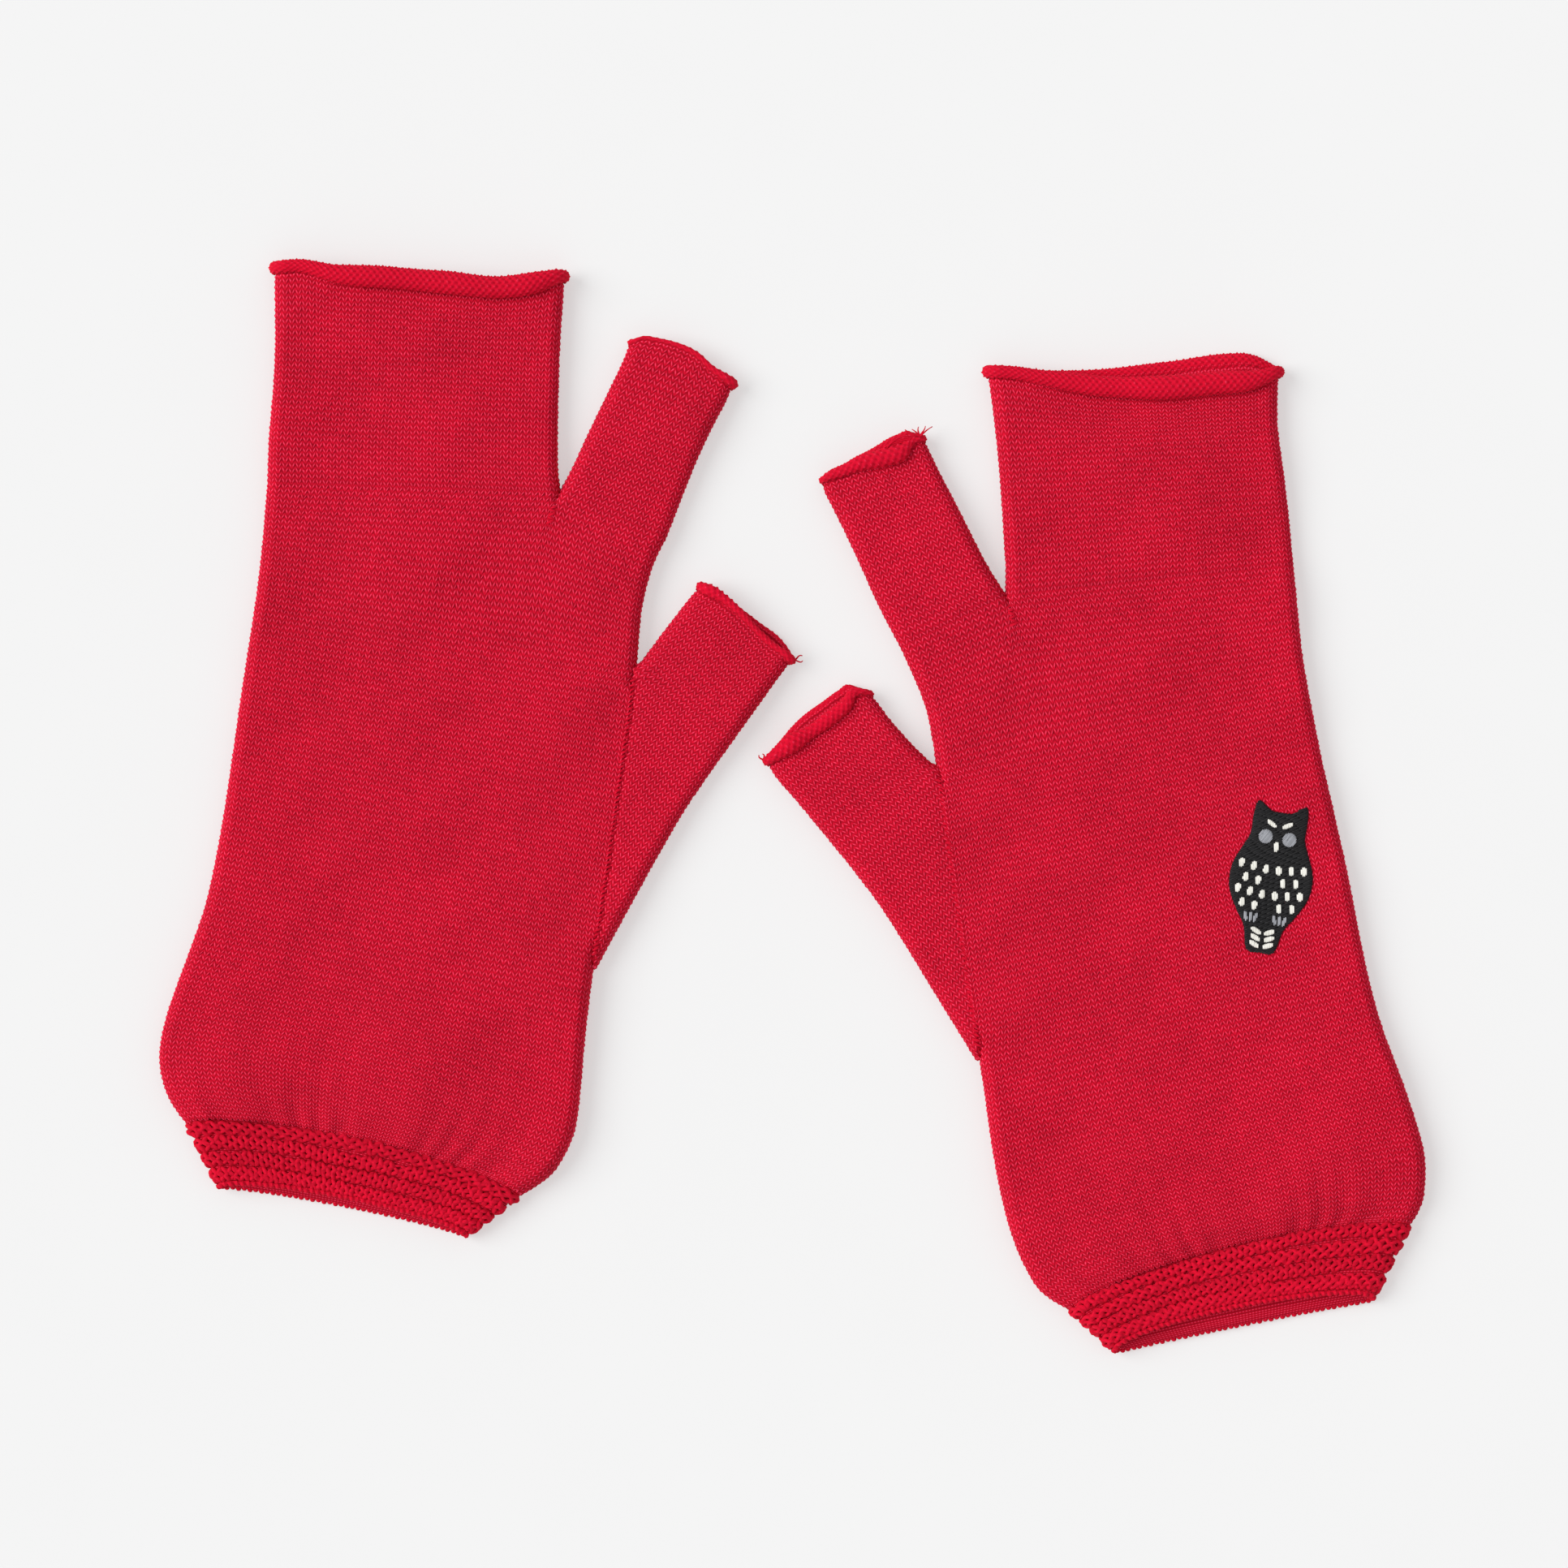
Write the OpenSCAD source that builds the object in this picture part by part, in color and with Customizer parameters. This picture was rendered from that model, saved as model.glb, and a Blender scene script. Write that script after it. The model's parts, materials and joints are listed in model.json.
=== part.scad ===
// A pair of fine-knit fingerless gloves lying flat, side by side, backs of the hands up.
// Each glove is a set of knitted tubes: a hand, a wide sleeve for three fingers, a sleeve
// for the index finger and one for the thumb, each ending in a hem that rolls by itself,
// and a ridged elastic cuff. The right glove has a small owl stitched on the back.
// +X runs to the right glove, +Y to the fingertips, and Z = 0 is the table.

/* [Knit] */
// Thickness of a glove lying flat, both layers and the air between them
flat_t = 8; // [7.5:0.5:12]
// Thickness of one layer of plain knit
wall = 1.3; // [1:0.1:1.6]
// Facets in each folded side of a tube
fold_facets = 6; // [4:2:12]
// Rings made between two stations of the hand
hand_rings = 2; // [1:1:3]
// Rings made between two stations of a sleeve
sleeve_rings = 2; // [1:1:4]

/* [Hems] */
// Thickness of a rolled hem
hem_wall = 1.75; // [1.3:0.05:1.9]
// How far the hem's free edge is rounded off
hem_round = 0.5; // [0:0.1:0.8]

/* [Cuff] */
// Ridges round the cuff
ridge_count = 5; // [3:1:7]
// Depth of the groove between two ridges
ridge_depth = 0.7; // [0.3:0.1:0.8]
// Wall of the cuff at the top of a ridge
cuff_wall = 1.2; // [1.1:0.1:1.5]
// Thickness of an elastic strand
elastic_t = 0.45; // [0.3:0.05:0.5]
// Width of an elastic strand
elastic_w = 0.8; // [0.5:0.1:1.2]

/* [Seams] */
// Radius of the linking stitches along the thumb
seam_r = 0.8; // [0.5:0.1:1]
// Thickness of the web of stitches between the fingers
fork_w = 1.6; // [1:0.2:2.4]
// Depth of that web
fork_d = 4; // [3:0.5:6]
// Radius of a loose yarn end
yarn_r = 0.35; // [0.25:0.05:0.5]
// Length of a loose yarn end
yarn_len = 4; // [2:0.5:6]

/* [Owl] */
// Height of the stitched owl, ears to tail
owl_h = 37; // [30:1:44]
// Widest part of the owl's body
owl_w = 20; // [16:1:24]
// Lean of the owl to the right of straight up, in degrees
owl_lean = -9; // [-20:1:20]
// Thickness of the black filled ground
ground_t = 0.7; // [0.4:0.1:1]
// Height of a light stitch above the ground
fleck_t = 0.4; // [0.2:0.1:0.6]
// Thickness of the soft backing inside the glove
backing_t = 0.3; // [0.2:0.1:0.4]
// Size of the backing against the owl's own outline
backing_scale = 1.08; // [1:0.02:1.15]

/* [Clearances] */
// Gap between pieces that move apart
body_gap = 0.4; // [0.3:0.1:0.8]
// Gap between pieces that stay together
rest_gap = 0.05; // [0.02:0.01:0.1]

/* [Hidden] */

knit_red = [0.77, 0.11, 0.2];
purl_red = [0.84, 0.16, 0.26];
thread_black = [0.06, 0.06, 0.06];
thread_white = [0.93, 0.93, 0.88];
thread_grey = [0.6, 0.59, 0.64];

half_t = flat_t / 2;
seam_inset = half_t;      // the flat of a tube starts this far in from its fold

// ---- Plan of the gloves. A station is a line of knit across a tube, from its left fold to
// its right one, seen from the tube's base. A hand's stations also pass through the stitch
// that divides the index finger from the other three.

index_share = 0.27;       // of the hand's stitches go on to the index sleeve
function across(l, r) = [l, (l + r) / 2, r];
function split_left(l, r) = [l, l + (r - l) * (1 - index_share), r];
function split_right(l, r) = [l, l + (r - l) * index_share, r];

left_fork = [-57.4, 77.5];
left_hand = [
    split_left([-149, -78], [-67.5, -95.5]),
    split_left([-153.6, -71.5], [-59.5, -90]),
    split_left([-156, -62], [-54.2, -80.5]),
    split_left([-154.3, -51.5], [-52.4, -68.5]),
    split_left([-150, -39], [-51.2, -55]),
    split_left([-145, -25], [-49.5, -41]),
    split_left([-142, -12], [-47.3, -26.5]),
    split_left([-139.8, 0.5], [-45.3, -12]),
    split_left([-137.8, 14], [-43.1, 3.5]),
    split_left([-135.8, 28], [-40.9, 19]),
    split_left([-133.8, 41], [-38.7, 34.5]),
    split_left([-132, 53], [-37.4, 49]),
    [[-130.5, 66], [-59.5, 63], [-34.8, 59.5]],
    [[-129.4, 80], left_fork, [-31.6, 66.5]]
];
left_fingers = [
    across([-129.3, 80.5], [-57.9, 78]),
    across([-128.9, 92], [-58.1, 90.5]),
    across([-127.8, 105], [-57.9, 104]),
    across([-127.4, 116], [-57.5, 115]),
    across([-127.5, 128], [-56.7, 126.5])
];
left_finger_tip = across([-127.6, 134.5], [-56.2, 131.5]);
left_index = [
    across([-56.8, 78.2], [-31.3, 66.9]),
    across([-51.2, 90.4], [-26.3, 79.8]),
    across([-46.4, 100.4], [-22.2, 89.6]),
    across([-41.8, 110], [-17.2, 99.6]),
    across([-40.7, 112.6], [-15.7, 102.6])
];
left_index_tip = across([-39.4, 117], [-13.9, 106.6]);
left_crotch = [-38.2, 34.9];
left_heel = [-48.8, -39.7];
left_thumb = [
    across(left_crotch, left_heel),
    across([-35.8, 38], [-38.5, -20.8]),
    across([-32.3, 42.6], [-26.6, 0]),
    across([-28.4, 47.8], [-14.6, 17.2]),
    across([-24.8, 52.3], [-3, 33.4])
];
left_thumb_tip = across([-22, 56], [0.6, 37.2]);
left_cuff_edge = across([-141.5, -93.5], [-80.5, -105.5]);
left_cuff_top = across([-148.9, -78.5], [-67.9, -95.9]);

right_fork = [52.8, 52];
right_hand = [
    split_right([68.8, -123.6], [152.4, -102.6]),
    split_right([61.2, -118.6], [155.4, -97]),
    split_right([55.3, -107.5], [156, -86.5]),
    split_right([51.8, -95], [153.4, -76]),
    split_right([49.4, -82], [149.4, -64.5]),
    split_right([47.6, -69], [145.3, -53.5]),
    split_right([45.5, -56], [142, -41.5]),
    split_right([43.7, -43], [139.4, -29]),
    split_right([41.8, -30], [136.8, -15.5]),
    split_right([39.9, -17], [133.8, -2]),
    split_right([38, -4], [130.8, 11]),
    split_right([36, 9.5], [128, 25]),
    [[33.4, 24.5], [57, 31], [125.6, 39]],
    [[27.3, 39.4], right_fork, [123.6, 59.5]]
];
right_fingers = [
    across([53.3, 52.5], [123.5, 60]),
    across([52.6, 65.5], [122.4, 71.5]),
    across([51.8, 78.5], [121.1, 83]),
    across([50.6, 92], [119.6, 94.5]),
    across([49, 104], [119.6, 104.4])
];
right_finger_tip = across([47.9, 109.5], [120.6, 109.5]);
right_index = [
    across([27, 39.9], [52.3, 52.7]),
    across([21.6, 50.2], [46.4, 63]),
    across([16.2, 62.2], [40.8, 74.2]),
    across([11.4, 72.2], [35.8, 83.8]),
    across([8.8, 77.2], [33.4, 88.8])
];
right_index_tip = across([7, 81.6], [31.8, 93.2]);
right_crotch = [35.5, 10];
right_heel = [45.8, -62.2];
right_thumb = [
    across(right_heel, right_crotch),
    across([35.2, -45], [32.2, 13]),
    across([21.8, -23.6], [28, 17.4]),
    across([8.2, -6.2], [23.8, 22.2]),
    across([-4.3, 8.8], [21, 26])
];
right_thumb_tip = across([-7, 12.6], [18.6, 29.8]);
right_cuff_edge = across([80.5, -134.5], [142.6, -122.6]);
right_cuff_top = across([69.1, -124.1], [152.3, -103.1]);

owl_at = [118, -17];

// ---- Lofting

// A point of the smooth curve through p, share t of the way from p[i] to p[i + 1]
function curve_at(p, i, t) =
    let (a = p[max(i - 1, 0)], b = p[i], c = p[i + 1], d = p[min(i + 2, len(p) - 1)])
    0.5 * (2 * b + (c - a) * t + (2 * a - 5 * b + 4 * c - d) * t * t
        + (3 * b - a - 3 * c + d) * t * t * t);
function smooth(p, n) = [for (i = [0 : len(p) - 2], k = [0 : n - 1]) curve_at(p, i, k / n), p[len(p) - 1]];
function unit(v) = v / norm(v);
function between(a, b, t) = a + (b - a) * t;

// The closed section of a flat tube at a station: two folded sides of radius r, joined by flats
function section(st, r) =
    let (from_left = unit(st[1] - st[0]), to_right = unit(st[2] - st[1]))
    let (left = st[0] + from_left * half_t, right = st[2] - to_right * half_t)
    concat(
        [for (k = [0 : fold_facets]) let (a = 270 - 180 * k / fold_facets)
            [each (left + from_left * r * cos(a)), half_t + r * sin(a)]],
        [[each st[1], half_t + r]],
        [for (k = [0 : fold_facets]) let (a = 90 - 180 * k / fold_facets)
            [each (right + to_right * r * cos(a)), half_t + r * sin(a)]],
        [[each st[1], half_t - r]]
    );

// A hollow tube through stations, with an outer and an inner fold radius at each of them
module tube(stations, outer, inner) {
    rings = len(stations);
    n = 2 * fold_facets + 4;
    outside = [for (i = [0 : rings - 1]) each section(stations[i], outer[i])];
    inside = [for (i = [0 : rings - 1]) each section(stations[i], inner[i])];
    core = rings * n;
    last = (rings - 1) * n;
    polyhedron(
        points = concat(outside, inside),
        faces = [
            for (i = [0 : rings - 2], j = [0 : n - 1])
                let (a = i * n + j, b = i * n + (j + 1) % n, c = b + n, d = a + n)
                each [[a, d, c], [a, c, b], [core + a, core + b, core + c], [core + a, core + c, core + d]],
            for (j = [0 : n - 1])
                let (a = j, b = (j + 1) % n)
                each [[a, b, core + b], [a, core + b, core + a]],
            for (j = [0 : n - 1])
                let (a = last + j, b = last + (j + 1) % n)
                each [[a, core + a, core + b], [a, core + b, b]]
        ]
    );
}

// A tube with the same wall all along
module plain_tube(stations, wall_t) {
    tube(stations, [for (s = stations) half_t], [for (s = stations) half_t - wall_t]);
}

// ---- Pieces of a glove

module hand_tube(stations, crotch, heel) {
    mouth = unit(heel - crotch);
    side = [mouth.y, -mouth.x];
    inset = 5;            // the slot for the thumb stops this far short of each end of the seam
    start = crotch + mouth * inset;
    end = heel - mouth * inset;
    reach = half_t + 1;
    color(knit_red) difference() {
        plain_tube(smooth(stations, hand_rings), wall);
        translate([0, 0, wall]) linear_extrude(flat_t - 2 * wall)
            polygon([start + side * reach, end + side * reach, end - side * reach, start - side * reach]);
    }
}

module sleeve(stations) {
    color(knit_red) plain_tube(smooth(stations, sleeve_rings), wall);
}

// The hem starts clear of its sleeve and rounds off at its free edge
module hem(base, tip) {
    rows = [0, 0.7, 1];
    start = rest_gap / norm(tip[1] - base[1]);
    stations = [for (t = rows) between(base, tip, start + t * (1 - start))];
    color(purl_red) tube(
        stations,
        [half_t, half_t, half_t - hem_round],
        [for (t = rows) half_t - hem_wall]
    );
}

// Ridges run round the cuff; each has a shoulder at its top and its foot
module cuff(edge, top) {
    shoulder = [0, 0.25, 0.75];
    shares = [for (i = [0 : ridge_count - 1], s = shoulder) (i + s) / ridge_count, 1];
    radii = [for (i = [0 : ridge_count - 1], s = shoulder) s == 0 ? half_t - ridge_depth : half_t,
        half_t - ridge_depth];
    color(purl_red) tube(
        [for (t = shares) between(edge, top, t)],
        radii,
        [for (t = shares) half_t - cuff_wall]
    );
}

// One strand of elastic lies inside each ridge but the last
module cuff_elastic(edge, top) {
    length = norm(top[1] - edge[1]);
    r = half_t - cuff_wall - rest_gap;
    color(thread_white) for (i = [0 : ridge_count - 2]) {
        middle = (i + 0.5) / ridge_count;
        stations = [for (s = [-0.5, 0.5]) between(edge, top, middle + s * elastic_w / length)];
        tube(stations, [r, r], [r - elastic_t, r - elastic_t]);
    }
}

// The web of stitches that closes the fork between the index finger and the others
module fork_join(fork, toward) {
    along = unit(toward - fork);
    color(purl_red)
        translate([each (fork + along * (fork_d / 2 + body_gap)), half_t])
            rotate(atan2(along.y, along.x))
                cube([fork_d, fork_w, flat_t - 2 * (wall + rest_gap)], center = true);
}

// Linking stitches lie in the groove between the hand's fold and the thumb
module thumb_seam(crotch, heel, hand_side) {
    run = heel - crotch;
    inset = 0.8;          // from the hand's fold to the middle of the stitches
    reach = half_t + seam_r + rest_gap;
    rise = half_t + sqrt(reach * reach - (half_t - inset) * (half_t - inset));
    color(purl_red)
        translate([each (crotch + hand_side * (inset + body_gap)), rise])
            rotate([0, 90, atan2(run.y, run.x)])
                cylinder(h = norm(run), r = seam_r, $fn = 24);
}

// A loose end of yarn that stands out from the corner of a hem
module yarn_end(at, angle) {
    color(knit_red)
        translate([each (at + [cos(angle), sin(angle)] * rest_gap), half_t])
            rotate([0, 90, angle])
                cylinder(h = yarn_len, r = yarn_r, $fn = 16);
}

// ---- The stitched owl, drawn upright about the middle of its body

head_r = 0.19 * owl_h;
head_y = 0.27 * owl_h;
// Half of the outline, from the crown round an ear, a cheek and a wing to the tail
owl_side = [
    [0, 0.44 * owl_h],
    [0.07 * owl_h, 0.445 * owl_h],
    [0.16 * owl_h, 0.5 * owl_h],
    [0.18 * owl_h, 0.4 * owl_h],
    [0.18 * owl_h, 0.28 * owl_h],
    [0.4 * owl_w, 0.19 * owl_h],
    [0.5 * owl_w, 0.05 * owl_h],
    [0.49 * owl_w, -0.1 * owl_h],
    [0.36 * owl_w, -0.24 * owl_h],
    [0.24 * owl_w, -0.34 * owl_h],
    [0.17 * owl_w, -0.49 * owl_h],
    [0, -0.5 * owl_h]
];

module owl_outline(size = 1) {
    half = smooth(owl_side, 3);
    last = len(half) - 1;
    polygon(size * concat(half, [for (k = [last - 1 : -1 : 1]) [-half[k].x, half[k].y]]));
}

module on_owl(z) {
    translate([each owl_at, z]) rotate(owl_lean) children();
}

// A short satin stitch: a lozenge with blunt ends
module stitch(at, angle, l, w, t) {
    translate(at) rotate(angle) linear_extrude(t)
        polygon([[-l / 2, -w / 5], [-l / 4, -w / 2], [l / 4, -w / 2], [l / 2, -w / 5],
            [l / 2, w / 5], [l / 4, w / 2], [-l / 4, w / 2], [-l / 2, w / 5]]);
}

module owl_ground() {
    color(thread_black) on_owl(flat_t) linear_extrude(ground_t) owl_outline();
}

// Rows of flecks follow the curve of the breast, and bars cross the tail
module owl_flecks() {
    row_pitch = 0.085 * owl_h;
    breast_y = 0.05 * owl_h;
    color(thread_white) on_owl(flat_t + ground_t + rest_gap) {
        for (row = [0 : 3], side = [-1, 1], k = [0 : 2 - row % 2]) {
            x = side * (k + (row % 2 == 0 ? 0.5 : 1)) * 0.155 * owl_w;
            y = breast_y - row * row_pitch + 0.12 * abs(x);
            stitch([x, y], 90 + side * 8, 0.055 * owl_h, 0.034 * owl_h, fleck_t);
        }
        for (row = [0 : 2], side = [-1, 1])
            stitch([side * 0.085 * owl_w, -0.36 * owl_h - row * 0.045 * owl_h], side * 24,
                0.13 * owl_w, 0.025 * owl_h, fleck_t);
        for (side = [-1, 1])
            stitch([side * 0.1 * owl_w, head_y + 0.09 * owl_h], side * 30, 0.13 * owl_w, 0.022 * owl_h, fleck_t);
        stitch([0, head_y - 0.06 * owl_h], 90, 0.06 * owl_h, 0.03 * owl_h, fleck_t);
    }
}

module owl_eyes() {
    color(thread_grey) on_owl(flat_t + ground_t + rest_gap) for (s = [-1, 1])
        translate([s * 0.42 * head_r, head_y]) cylinder(h = fleck_t, r = 0.045 * owl_h, $fn = 24);
}

module owl_claws() {
    color(thread_grey) on_owl(flat_t + ground_t + rest_gap) for (s = [-1, 1], k = [-1 : 1])
        stitch([s * 0.18 * owl_w + k * 0.06 * owl_w, -0.275 * owl_h], 90 - k * 14,
            0.06 * owl_h, 0.02 * owl_h, fleck_t);
}

module owl_backing() {
    color(thread_white) on_owl(flat_t - wall - backing_t - rest_gap)
        linear_extrude(backing_t) owl_outline(backing_scale);
}

// ---- Drawing

east = [1, 0];
west = [-1, 0];

hand_tube(left_hand, left_crotch, left_heel);  // left_hand_tube
sleeve(left_fingers);  // left_finger_sleeve
sleeve(left_index);  // left_index_sleeve
sleeve(left_thumb);  // left_thumb_sleeve
cuff(left_cuff_edge, left_cuff_top);  // left_cuff
hem(left_fingers[4], left_finger_tip);  // left_finger_hem
hem(left_index[4], left_index_tip);  // left_index_hem
hem(left_thumb[4], left_thumb_tip);  // left_thumb_hem
fork_join(left_fork, left_hand[12][1]);  // left_fork_join
thumb_seam(left_crotch, left_heel, west);  // left_thumb_seam
cuff_elastic(left_cuff_edge, left_cuff_top);  // left_cuff_elastic
yarn_end(left_thumb_tip[2], 30);  // left_thumb_yarn_end
hand_tube(right_hand, right_crotch, right_heel);  // right_hand_tube
sleeve(right_fingers);  // right_finger_sleeve
sleeve(right_index);  // right_index_sleeve
sleeve(right_thumb);  // right_thumb_sleeve
cuff(right_cuff_edge, right_cuff_top);  // right_cuff
hem(right_fingers[4], right_finger_tip);  // right_finger_hem
hem(right_index[4], right_index_tip);  // right_index_hem
hem(right_thumb[4], right_thumb_tip);  // right_thumb_hem
fork_join(right_fork, right_hand[12][1]);  // right_fork_join
thumb_seam(right_crotch, right_heel, east);  // right_thumb_seam
cuff_elastic(right_cuff_edge, right_cuff_top);  // right_cuff_elastic
yarn_end(right_index_tip[2], 60);  // right_index_yarn_end
yarn_end(right_thumb_tip[0], 150);  // right_thumb_yarn_end
owl_ground();
owl_flecks();
owl_eyes();
owl_claws();
owl_backing();
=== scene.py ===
# %% [markdown]
# # A pair of knitted fingerless gloves, lying flat
#
# Two red gloves lie side by side with the backs of the hands up. Everything on them is knitted
# yarn: plain tubes for the hand, the fingers and the thumb, hems that roll by themselves, and a
# ridged cuff. A small owl is stitched on the right one. The CAD model already says how large each
# piece is and how it moves, so this script only reads those shapes and dresses them.

# %% Load the frame
import json
import math

import bpy
import numpy as np
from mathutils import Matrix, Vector


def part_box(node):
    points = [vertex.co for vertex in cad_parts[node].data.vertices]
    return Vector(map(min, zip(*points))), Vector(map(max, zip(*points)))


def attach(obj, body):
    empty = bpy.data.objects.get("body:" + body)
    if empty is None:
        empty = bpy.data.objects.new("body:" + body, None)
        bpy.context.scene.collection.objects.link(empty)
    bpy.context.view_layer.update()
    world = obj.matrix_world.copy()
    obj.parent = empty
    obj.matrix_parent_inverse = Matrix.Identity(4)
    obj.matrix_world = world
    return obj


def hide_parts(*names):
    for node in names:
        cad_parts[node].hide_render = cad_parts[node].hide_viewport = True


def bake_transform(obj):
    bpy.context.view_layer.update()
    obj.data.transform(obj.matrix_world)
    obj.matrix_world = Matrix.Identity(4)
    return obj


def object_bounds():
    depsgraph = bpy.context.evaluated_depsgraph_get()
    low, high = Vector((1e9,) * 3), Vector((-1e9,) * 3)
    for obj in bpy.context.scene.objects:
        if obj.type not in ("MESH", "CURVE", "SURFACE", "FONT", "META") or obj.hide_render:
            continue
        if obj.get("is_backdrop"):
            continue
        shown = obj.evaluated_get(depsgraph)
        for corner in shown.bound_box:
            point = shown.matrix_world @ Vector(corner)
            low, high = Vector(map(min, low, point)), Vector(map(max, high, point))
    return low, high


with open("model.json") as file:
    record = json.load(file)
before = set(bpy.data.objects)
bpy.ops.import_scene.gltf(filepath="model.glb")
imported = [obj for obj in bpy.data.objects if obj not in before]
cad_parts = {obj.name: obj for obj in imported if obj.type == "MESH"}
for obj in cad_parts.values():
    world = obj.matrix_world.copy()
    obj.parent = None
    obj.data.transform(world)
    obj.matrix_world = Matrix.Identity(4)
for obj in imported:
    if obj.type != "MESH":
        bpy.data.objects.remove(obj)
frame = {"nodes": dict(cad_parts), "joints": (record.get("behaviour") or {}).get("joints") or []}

cad_low, cad_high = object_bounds()
MM = 0.001
joints = {j["name"]: j for j in frame["joints"]}
print("CAD nodes:", len(frame["nodes"]), "joints:", len(joints))

# %% [markdown]
# ## Camera, table and light
#
# The gloves are seen from straight above, from far enough away that the picture has almost no
# perspective. The table is a plain pale surface. Soft light comes from the left, so each glove
# throws a faint shadow to its right, and the sky fills the rest.

# %% Camera
VIEW_WIDTH = 386.4 * MM
CAMERA_HEIGHT = 1.5
SHARP_LEVEL = 0.7    # the view is VIEW_WIDTH wide at this share of the gloves' height
SENSOR = 36.0
view_centre = Vector((-2.0, 6.2, 0.0)) * MM

lens = bpy.data.cameras.new("camera")
lens.sensor_width = SENSOR
lens.lens = SENSOR * (CAMERA_HEIGHT - cad_high.z * SHARP_LEVEL) / VIEW_WIDTH
lens.clip_end = 10.0
camera = bpy.data.objects.new("camera", lens)
camera.location = view_centre + Vector((0, 0, CAMERA_HEIGHT))
bpy.context.scene.collection.objects.link(camera)
bpy.context.scene.camera = camera
print("lens", round(lens.lens, 1), "mm")


# %% Table and light
def far_light(name, place, angle, power):
    """A far soft light in the direction of place, as wide as an angle in degrees seen from here."""
    light = bpy.data.lights.new(name, "SUN")
    light.angle = math.radians(angle)
    light.energy = power
    lamp = bpy.data.objects.new(name, light)
    lamp.location = place
    lamp.rotation_euler = (-Vector(place)).to_track_quat("-Z", "Y").to_euler()
    bpy.context.scene.collection.objects.link(lamp)
    return lamp


TABLE_HALF = 3.0
WINDOW_PLACE = (-1.2, 0.25, 1.1)
WINDOW_ANGLE = 42
WINDOW_POWER = 2.35
SKY_STRENGTH = 0.62
table_mesh = bpy.data.meshes.new("table")
table_corners = [(x * TABLE_HALF, y * TABLE_HALF, 0)
                 for x, y in ((-1, -1), (1, -1), (1, 1), (-1, 1))]
table_mesh.from_pydata(table_corners, [], [(0, 1, 2, 3)])
table = bpy.data.objects.new("table", table_mesh)
bpy.context.scene.collection.objects.link(table)
table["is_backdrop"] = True

window = far_light("window", WINDOW_PLACE, WINDOW_ANGLE, WINDOW_POWER)
sky = bpy.data.worlds.new("sky")
sky.use_nodes = True
sky_inputs = sky.node_tree.nodes["Background"].inputs
sky_inputs["Color"].default_value = (1, 1, 1, 1)
sky_inputs["Strength"].default_value = SKY_STRENGTH
bpy.context.scene.world = sky
bpy.context.scene.view_settings.view_transform = "Standard"
print(f"window light {window.data.energy:.2f}, sky {SKY_STRENGTH}")

# %% [markdown]
# ## Reading the outline from the CAD
#
# Each CAD tube is flat, with a folded side on the left and on the right. At half its height the
# tube's vertices lie on those folds: an outer one, and an inner one a wall away from it. The
# outer ones, in order from the tube's base to its end, are the outline that the knitting follows.


# %% Fold lines
SAME = 0.01          # lengths closer than this count as equal, in mm
HALF_WALL = 0.5      # vertices closer together than this aren't across a wall
SLEEVES = (("fingers", "finger"), ("index", "index"), ("thumb", "thumb"))      # joint, CAD name


def xy(point):
    return np.array(point[:2], float) / MM


def fold_lines(node, base, tip):
    """The outer left and right folds of a flat CAD tube that runs from base to tip, in mm."""
    co = np.array([v.co for v in frame["nodes"][node].data.vertices], float) / MM
    half = co[:, 2].max() / 2
    level = np.abs(co[:, 2] - half) < SAME
    points = np.unique(np.round(co[level, :2], 3), axis=0)
    run = (tip - base) / np.linalg.norm(tip - base)
    across = np.array([run[1], -run[0]])
    apart = np.linalg.norm(points[:, None] - points[None], axis=2)
    partner = np.where(apart > HALF_WALL, apart, np.inf)
    wall = np.median(partner.min(axis=1))
    sides = ([], [])
    for i, point in enumerate(points):
        side = np.dot(point - base, across)
        j = int(np.argmin(np.abs(partner[i] - wall)))
        is_outer = abs(side) > abs(np.dot(points[j] - base, across))
        if abs(partner[i, j] - wall) < 2 * SAME and is_outer:
            sides[int(side > 0)].append(point)
    return tuple(np.array(sorted(s, key=lambda p: np.dot(p, run))) for s in sides)


def middle(node):
    low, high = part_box(node)
    return xy((low + high) / 2)


def hinge(side, part):
    return xy(joints[f"{side}_{part}_fold"]["pos_m"])


folds = {}
for side in ("left", "right"):
    hand_end = (hinge(side, "fingers") + hinge(side, "index")) / 2
    folds[side, "hand"] = fold_lines(f"{side}_hand_tube", hinge(side, "cuff"), hand_end)
    for part, stem in SLEEVES:
        tip = middle(f"{side}_{stem}_hem")
        folds[side, part] = fold_lines(f"{side}_{stem}_sleeve", hinge(side, part), tip)
for key, (left, right) in folds.items():
    print(*key, "fold points", len(left), len(right))


# %% Corners at the far end of a piece
def far_corners(node, across):
    """The left and right corners of a tube's far end, in mm. "across" runs left to right there."""
    across = across / np.linalg.norm(across)
    out = np.array([-across[1], across[0]])
    co = np.array([v.co for v in frame["nodes"][node].data.vertices], float)[:, :2] / MM
    return tuple(co[np.argmax(co @ (2 * out + s * across))] for s in (-1, 1))


def fold_axis(side, part):
    """The direction of a fold line in plan."""
    return np.array(joints[f"{side}_{part}_fold"]["axis"][:2])


corners = {}
for side in ("left", "right"):
    corners[side, "cuff"] = far_corners(f"{side}_cuff", fold_axis(side, "cuff"))
    for part, stem in SLEEVES:
        left, right = folds[side, part]
        corners[side, part] = far_corners(f"{side}_{stem}_hem", right[-1] - left[-1])
print("left finger hem ends at", *[c.round(1) for c in corners["left", "fingers"]])


# %% Curves through those points
def smooth(t):
    """0 before t = 0, 1 after t = 1, and an easy slope between."""
    t = np.clip(t, 0, 1)
    return t * t * (3 - 2 * t)


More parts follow.
